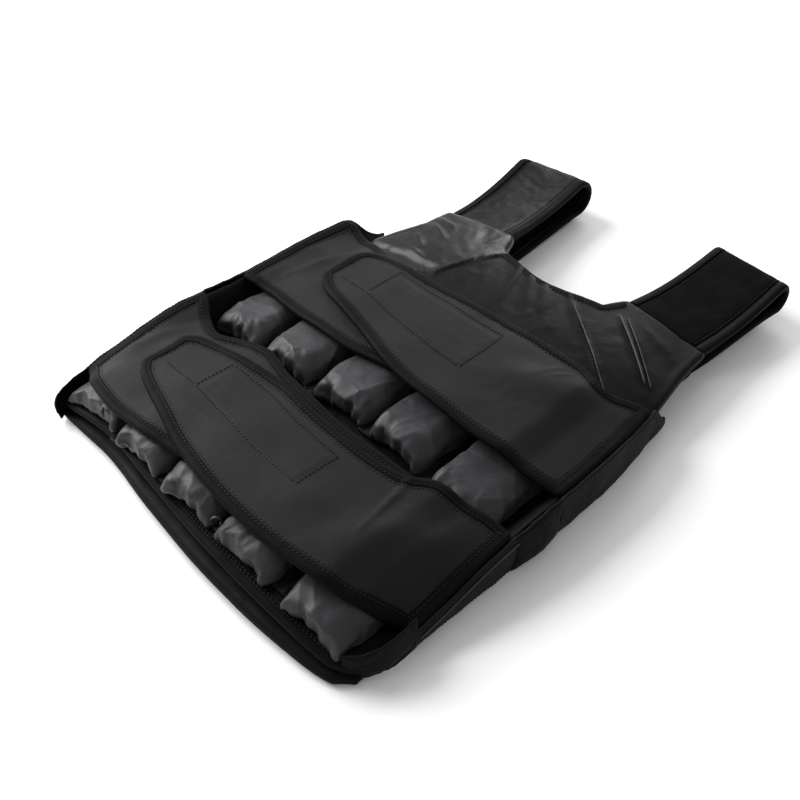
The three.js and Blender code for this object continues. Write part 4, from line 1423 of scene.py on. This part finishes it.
LOWER_FOLDS = (
    Fold(107, 38, 175, 120, 22, 4.4, 0.3),
    Fold(121, 60, 109, 124, 3.4, 2.3, 0.8),
    Fold(-170, 80, -111, 122, 12, 3.0),
    Fold(-174, 58, -152, 124, 8, 2.6, 0.5),
    Fold(60, 40, 100, 66, 14, 1.6),
)
UPPER_FOLDS = (
    Fold(75, 247, 161, 298, 20, 4.2, 0.3),
    Fold(98, 268, 107, 291, 5, 1.6, 0.7),
    Fold(108, 272, 116, 290, 4, 1.2, 0.7),
    Fold(-165, 222, -118, 297, 12, 3.0),
    Fold(-156, 226, -136, 300, 7, 3.2, 0.6),
)
WRAPS = (
    Wrap(
        "lower_left", -1, 8, 112,
        Curve((0, 0.1, 0.2, 0.27, 0.37, 0.5, 0.8, 1), (0.22, 0.11, 0.055, 0.035, 0.035, 0.075, 0.16, 0.22)),
        Curve((0, 0.1, 0.2, 0.27, 0.37, 0.5, 0.8, 1), (1.28, 1.14, 1.04, 1.11, 1.15, 1.07, 1.0, 1.03)),
        LOWER_FOLDS, seed=21,
    ),
    Wrap(
        "upper_left", -1, 187, 112,
        Curve((0, 0.09, 0.2, 0.32, 0.5, 0.64, 1), (0.08, 0.1, 0.05, 0.01, -0.01, 0.04, 0.12)),
        Curve((0, 0.09, 0.2, 0.32, 0.5, 0.64, 1), (1.22, 1.17, 1.1, 0.93, 0.9, 0.9, 0.92)),
        UPPER_FOLDS, seed=22,
    ),
    Wrap(
        "lower_right", 1, 8, 137,
        Curve(
            (0, 0.06, 0.11, 0.19, 0.25, 0.38, 0.52, 0.67, 0.82, 0.96, 1),
            (0.36, 0.22, 0.12, 0.055, 0.03, 0.0, 0.02, 0.095, 0.22, 0.36, 0.44),
        ),
        Curve(
            (0, 0.06, 0.11, 0.19, 0.25, 0.38, 0.52, 0.67, 0.82, 0.96, 1),
            (1.22, 1.2, 1.15, 1.09, 0.96, 0.91, 0.92, 0.96, 0.94, 0.89, 0.82),
        ),
        LOWER_FOLDS, (0.2, 0.62, 0.42, 0.82), 23,
    ),
    Wrap(
        "upper_right", 1, 187, 125,
        Curve(
            (0, 0.07, 0.13, 0.2, 0.3, 0.45, 0.56, 0.72, 0.92, 0.98, 1),
            (0.1, 0.06, 0.03, 0.0, -0.02, -0.01, 0.03, 0.16, 0.32, 0.42, 0.47),
        ),
        Curve(
            (0, 0.07, 0.13, 0.2, 0.3, 0.45, 0.56, 0.72, 0.92, 0.98, 1),
            (1.2, 1.1, 1.0, 1.05, 1.02, 0.99, 0.97, 0.95, 0.97, 0.92, 0.84),
        ),
        UPPER_FOLDS, (0.18, 0.58, 0.34, 0.82), 24,
    ),
)


# ------------------------------------------------------------------ sides
@dataclass
class Sides:
    """Ribbed elastic between the wraps and the back, and the soft cloth between."""

    rows: int = 210
    columns: int = 16
    thickness: float = 2.4
    tuck: float = 4
    floor_gap: float = 1.5
    left_tail: float = 46
    right_tail: float = 26
    tail_height: float = 18
    corner_rows: int = 50
    corner_columns: int = 24

    def panel(
        self,
        name: str,
        side: int,
        start: float,
        end: float,
        tail: float,
        belly: float,
        ribs: float,
        cloth: Cloth,
    ) -> None:
        """Builds one side panel.

        Args:
            name: The piece's name.
            side: -1 on the left, 1 on the right.
            start: Lower end along the body.
            end: Upper end along the body.
            tail: Length of cloth past the upper end.
            belly: How far it swells outwards.
            ribs: Depth of its ribs.
            cloth: Its finish; the node that it replaces has the same name with side_ before it.
        """
        u, v = share_grid(self.rows, self.columns)
        y = mix(start, end + tail, v)
        out = LAYERS.half_width - (LAYERS.narrowing(y) if side > 0 else 0)
        seam_top = LAYERS.wrap_bed(side * out, y) + 3.6
        past = smooth(y, end, end + tail) if tail else 0 * y
        top = mix(seam_top, self.tail_height, past)
        soft = cloth is LINING
        held = np.sqrt(np.sin(np.pi * np.clip(v, 0.001, 0.999))) if soft else 1
        swell = belly * (np.sin(np.pi * 0.9 * u) + past) * held
        rib = ribs * (0.5 - 0.5 * np.cos(2 * np.pi * y / 3.4)) + 0.7 * lattice(y / 14, u * 2, 5)
        crumple = (1.6 if soft else 0.5) * (0.5 + 0.5 * creases(y, 40 * u, 20, 9))
        inner = out + 0.4 + swell + rib + crumple - self.tuck * u * u
        z = mix(top, self.floor_gap, u)
        flip = slice(None, None, -1) if side < 0 else slice(None)
        low, high = as_points(side * inner, y, z), as_points(side * (inner + self.thickness), y, z)
        points, faces = self.wall(low[:, flip], high[:, flip])
        piece = make_piece(name, points, faces, cloth, ["side_" + name])

    def wall(self, inner: Array, outer: Array) -> tuple[Array, Array]:
        """Joins an inner and an outer grid that stand upright.

        Args:
            inner: Points of the inner side.
            outer: Points of the outer side.

        Returns:
            The points and the quads.
        """
        rows, columns = inner.shape[:2]
        count, loop = rows * columns, rim_loop(rows, columns)
        points = np.concatenate([inner.reshape(-1, 3), outer.reshape(-1, 3)])
        faces = [grid_faces(rows, columns), grid_faces(rows, columns, count)[:, ::-1]]
        faces.append(np.stack([loop, loop + count, np.roll(loop, -1) + count, np.roll(loop, -1)], -1))
        return points, np.concatenate(faces)

    def corner(
        self, name: str, across: Sequence[float], along: Sequence[float], top: Sequence[float]
    ) -> None:
        """Closes a lower corner between the hem and a wrap.

        Args:
            name: The piece's name.
            across: Places across of its upper edge, from the wrap to the hem.
            along: Places along the body of the same points.
            top: Heights of the same points.
        """
        u, v = share_grid(self.corner_rows, self.corner_columns)
        marks = np.linspace(0, 1, len(across))
        line = [Curve(marks, values)(v) for values in (across, along, top)]
        side = np.sign(across[0])
        low = self.floor_gap + 2
        out = side * (2.5 * np.sin(np.pi * u) + 0.8 * creases(40 * u, line[1], 18, 14))
        inner = as_points(line[0] + out, line[1] - 0.4 * np.abs(out), mix(line[2], low, u))
        shift = np.array([side * 1.4, -0.8, 0.3])
        flip = slice(None, None, -1) if side > 0 else slice(None)
        points, faces = self.wall((inner + shift)[:, flip], inner[:, flip])
        piece = make_piece(name, points, faces, LINING)

    def piping(self) -> None:
        """Thin light piping under the edge of the lower right wrap."""
        y = np.linspace(54, 150, 120)
        angle = np.arange(8) * np.pi / 4
        out = LAYERS.half_width - LAYERS.narrowing(y) + self.thickness + 2.2
        height = LAYERS.wrap_bed(out - 3, y) - 1.5
        x = out[:, None] + 0.8 * np.cos(angle)
        points, faces = open_tube(as_points(x, y[:, None], height[:, None] + 0.8 * np.sin(angle)))
        make_piece("side_piping", points, faces, POUCH_CLOTH)

    def build(self) -> None:
        """Builds all six panels, both lower corners and the piping."""
        self.corner("corner_left", (-183, -183, -183, -179), (38, 24, 10, 1), (36, 33, 28, 24))
        self.corner("corner_right", (184, 185, 178, 166), (54, 34, 12, 2), (34, 32, 27, 24))
        self.piping()
        for side, word, tail in ((-1, "left", self.left_tail), (1, "right", self.right_tail)):
            lower, upper = (wrap for wrap in WRAPS if wrap.name.endswith(word))
            edge = np.array(1.0 if side > 0 else 0.0)
            ends = (float(wrap.plan(edge, np.array(t), 0)[1]) for wrap in (lower, upper) for t in (0.0, 1.0))
            low_start, low_end, high_start, high_end = ends
            self.panel(f"elastic_lower_{word}", side, low_start, low_end, 0, 1.5, 0.4, ELASTIC)
            self.panel(f"elastic_upper_{word}", side, high_start, high_end, tail, 1.5, 0.4, ELASTIC)
            self.panel(f"gusset_{word}", side, low_end + 0.4, high_start - 0.4, 0, 7, 0.0, LINING)


# ------------------------------------------------------------------ straps
# The bound edge's section: how far in from the strap's edge, and the level in shares of its thickness.
STRAP_TAPE_PROFILE = (
    (7.4, 0.54), (4.0, 0.56), (0.8, 0.5), (-0.9, 0.2), (-0.9, -0.2),
    (0.8, -0.5), (4.0, -0.56), (7.4, -0.5), (7.6, 0.0),
)


@dataclass
class ShoulderStrap:
    """A padded strap, folded over at the shoulder."""

    name: str
    width: float
    lean: float
    turn: float
    reach: float
    lift: float
    seam: tuple[float, float]
    back: tuple[float, float]
    cloth: Cloth
    creased: float
    seed: int
    thickness: float = 6
    fold_height: float = 32
    sag: float = 5
    columns: int = 46
    rows: int = 180
    cloth_length: float = 420
    tape_steps: int = 300
    seam_steps: int = 260

    def spine(self, at: Array, seam_height: Array) -> tuple[Array, Array, Array, Array, Array]:
        """Middle line of the strap.

        Args:
            at: Shares along the strap, a third for each layer and for the fold.
            seam_height: Height of the strap at its front seam.

        Returns:
            Place along, height, outward angle, and how far each layer has run.
        """
        upper = self.fold_height + 1.5 * self.thickness
        lower = self.thickness / 2 + self.lift
        radius = (upper - lower) / 2
        start = LAYERS.length + self.reach - radius - self.thickness / 2
        end = LAYERS.length + 14.4
        run_a, run_b, run_c = np.clip(at * 3, 0, 1), np.clip(at * 3 - 1, 0, 1), np.clip(at * 3 - 2, 0, 1)
        angle = np.pi * (0.5 - run_b)
        first = at < 1 / 3
        last = at > 2 / 3
        y = start + radius * np.cos(angle)
        y = np.where(first, mix(LAYERS.length + 0.4, start, run_a), np.where(last, mix(start, end, run_c), y))
        rise = mix(seam_height, upper, run_a) - self.sag * np.sin(np.pi * run_a)
        down = mix(lower, LAYERS.back_edge / 2, smooth(run_c, 0, 1))
        height = np.where(first, rise, np.where(last, down, lower + radius * (1 + np.sin(angle))))
        return y, height, angle, run_a, run_c

    def layout(self, u: Array, at: Array, offset: Array) -> Array:
        """Points of the strap at shares across and along, off its middle layer.

        Args:
            u: Shares across.
            at: Shares along.
            offset: Distance from the middle layer, in shares of the thickness.

        Returns:
            The points in millimetres.
        """
        at_seam = mix(self.seam[0], self.seam[1], u)
        under = LAYERS.front_under(at_seam, LAYERS.length)
        seam_thick = LAYERS.front_top(at_seam, LAYERS.length) - under
        y, height, angle, up, down = self.spine(at, under + seam_thick / 2)
        middle = sum(self.seam) / 2 + math.tan(self.lean) * self.reach
        fold = mix(middle - self.width / 2, middle + self.width / 2, u)
        across = mix(mix(at_seam, fold, up), mix(self.back[0], self.back[1], u), down)
        thick = mix(seam_thick, self.thickness, smooth(up, 0, 0.3))
        skew = math.tan(self.turn) * (u - 0.5) * self.width * up * (1 - down)
        away = offset * thick
        return as_points(across, y + skew + away * np.cos(angle), height + away * np.sin(angle))

    def build(self) -> None:
        """Builds the strap, its bound edges and its stitches."""
        u, at = share_grid(self.rows, self.columns)
        edge = np.minimum(u, 1 - u) * self.width
        pillow = 0.78 + 0.22 * smooth(edge, 6, 16)
        groove = 0.12 * np.exp(-(((edge - 8.5) / 1.2) ** 2))
        across, along = u * self.width, at * self.cloth_length
        broad = creases(across * 1.2, along * 0.9, 48, self.seed)
        crumple = self.creased * (broad + 0.22 * creases(across, along, 16, self.seed + 3))
        fade = smooth(edge, 6, 14) * smooth(1 - at, 0.34, 0.5)
        high = self.layout(u, at, 0.5 * pillow - groove + crumple * fade * 0.2)
        low = self.layout(u, at, -0.5 * pillow)
        points, faces = closed_sheet(low, high, 0.1)
        node = "shoulder_strap_" + self.name
        piece = make_piece("strap_padding_" + self.name, points, faces, self.cloth, [node])
        steps = np.linspace(0.004, 0.996, self.tape_steps)[:, None]
        inset, level = np.array(STRAP_TAPE_PROFILE).T[:, None]
        share = inset / self.width + 0 * steps
        for word, outer in (("inner", False), ("outer", True)):
            band = self.layout(1 - share if outer else share, steps + 0 * share, level + 0 * share)
            points, faces = open_tube(band if outer else band[:, ::-1])
            make_piece(f"strap_tape_{word}_{self.name}", points, faces, TAPE)
        rows = []
        line = np.linspace(0.01, 0.6, self.seam_steps)
        for inset in (6.4, 10.5):
            for share in (inset / self.width, 1 - inset / self.width):
                rows.append(self.layout(share + 0 * line, line, 0.5 + 0 * line))
        Seam().sew("strap_stitches_" + self.name, rows)


# The left strap takes the painted-light copy of the strap cloth and the right strap takes the painted-shade
# copy.
STRAPS = (
    ShoulderStrap(
        "left", width=77, lean=math.radians(-9), turn=math.radians(7), reach=157, lift=5,
        seam=(-140, -61.5), back=(-143, -75), cloth=STRAP_PAINTED_LIGHT_CLOTH, creased=0.9, seed=31,
    ),
    ShoulderStrap(
        "right", width=80, lean=math.radians(-1), turn=math.radians(-6), reach=151, lift=14,
        seam=(77.5, 156), back=(75, 143), cloth=STRAP_PAINTED_SHADE_CLOTH, creased=0.3, seed=35,
    ),
)


# ------------------------------------------------------------------ studio
def pose(right: Array, up: Array, back: Array, place: Sequence[float]) -> Matrix:
    """Pose of a camera or a light from its own axes and its place.

    Args:
        right: Its right hand.
        up: Its upward direction.
        back: Where it looks away from.
        place: Where it stands.

    Returns:
        Its matrix.
    """
    matrix = np.eye(4)
    matrix[:3] = np.stack([right, up, back, place], -1)
    return Matrix(matrix.tolist())


@dataclass
class Studio:
    """Pale floor, soft light and the camera."""

    camera_place: tuple[float, float, float] = (0.4967, -0.5577, 0.6153)
    yaw: float = 45.46
    pitch: float = 41.02
    roll: float = 0.91
    lens: float = 49.5
    floor_reach: float = 6
    surround: float = 0.55

    def camera(self) -> None:
        """Places the camera."""
        data = bpy.data.cameras.new("camera")
        data.lens, data.sensor_width = self.lens, 36
        data.clip_end = 50
        eye = placed("camera", data)
        yaw, pitch, roll = (math.radians(a) for a in (self.yaw, self.pitch, self.roll))
        back = np.array([math.sin(yaw) * math.cos(pitch), -math.cos(yaw) * math.cos(pitch), math.sin(pitch)])
        right = np.cross(-back, [0.0, 0.0, 1.0])
        right /= np.linalg.norm(right)
        up = np.cross(back, right)
        tilted = math.cos(roll) * right + math.sin(roll) * up
        upright = -math.sin(roll) * right + math.cos(roll) * up
        eye.matrix_world = pose(tilted, upright, back, self.camera_place)
        bpy.context.scene.camera = eye

    def lamp(self, name: str, place: tuple[float, float, float], size: float, power: float) -> None:
        """Adds a soft square light that looks at the vest.

        Args:
            name: The light's name.
            place: Where it hangs.
            size: Its side.
            power: Its strength.
        """
        data = bpy.data.lights.new(name, "AREA")
        data.shape, data.size, data.energy = "SQUARE", size, power
        light = placed(name, data)
        away = np.array(place) / np.linalg.norm(place)
        side = np.cross([0.0, 1.0, 0.0], away)
        side /= np.linalg.norm(side)
        light.matrix_world = pose(side, np.cross(away, side), away, place)

    def build(self) -> None:
        """Builds floor, lights and camera."""
        mesh = bpy.data.meshes.new("floor")
        reach = self.floor_reach
        corners = [(-reach, -reach, 0), (reach, -reach, 0), (reach, reach, 0), (-reach, reach, 0)]
        mesh.from_pydata(corners, [], [(0, 1, 2, 3)])
        floor = placed("floor", mesh)
        pale = bpy.data.materials.new("pale_floor")
        pale.use_nodes = True
        feed(pale.node_tree, "Principled BSDF", {"Base Color": (0.93, 0.93, 0.93, 1), "Roughness": 0.9}, {})
        mesh.materials.append(pale)
        world = bpy.data.worlds.new("studio")
        world.use_nodes = True
        feed(world.node_tree, "Background", {"Color": (1, 1, 1, 1), "Strength": self.surround}, {})
        bpy.context.scene.world = world
        bpy.context.scene.view_settings.view_transform = "Standard"
        self.lamp("key", (-1.9, -0.5, 1.35), 1.8, 90)
        self.lamp("rim", (-0.9, 1.9, 1.2), 1.2, 25)
        self.camera()


def main() -> None:
    """Builds the vest from the floor up."""
    logging.basicConfig(level=logging.INFO, format="%(name)s: %(message)s")
    Studio().build()
    body = (BackPanel(), FrontPanel(), ChestHighlightPiping(), EdgeTapes())
    filling = (WeightPouches(), RecessShadeCloth(), PullLoops(), SideLining())
    for part in (*body, *filling, *WRAPS, Sides(), *STRAPS):
        part.build()
        LOG.info("built %s", type(part).__name__)


if __name__ == "__main__":
    main()
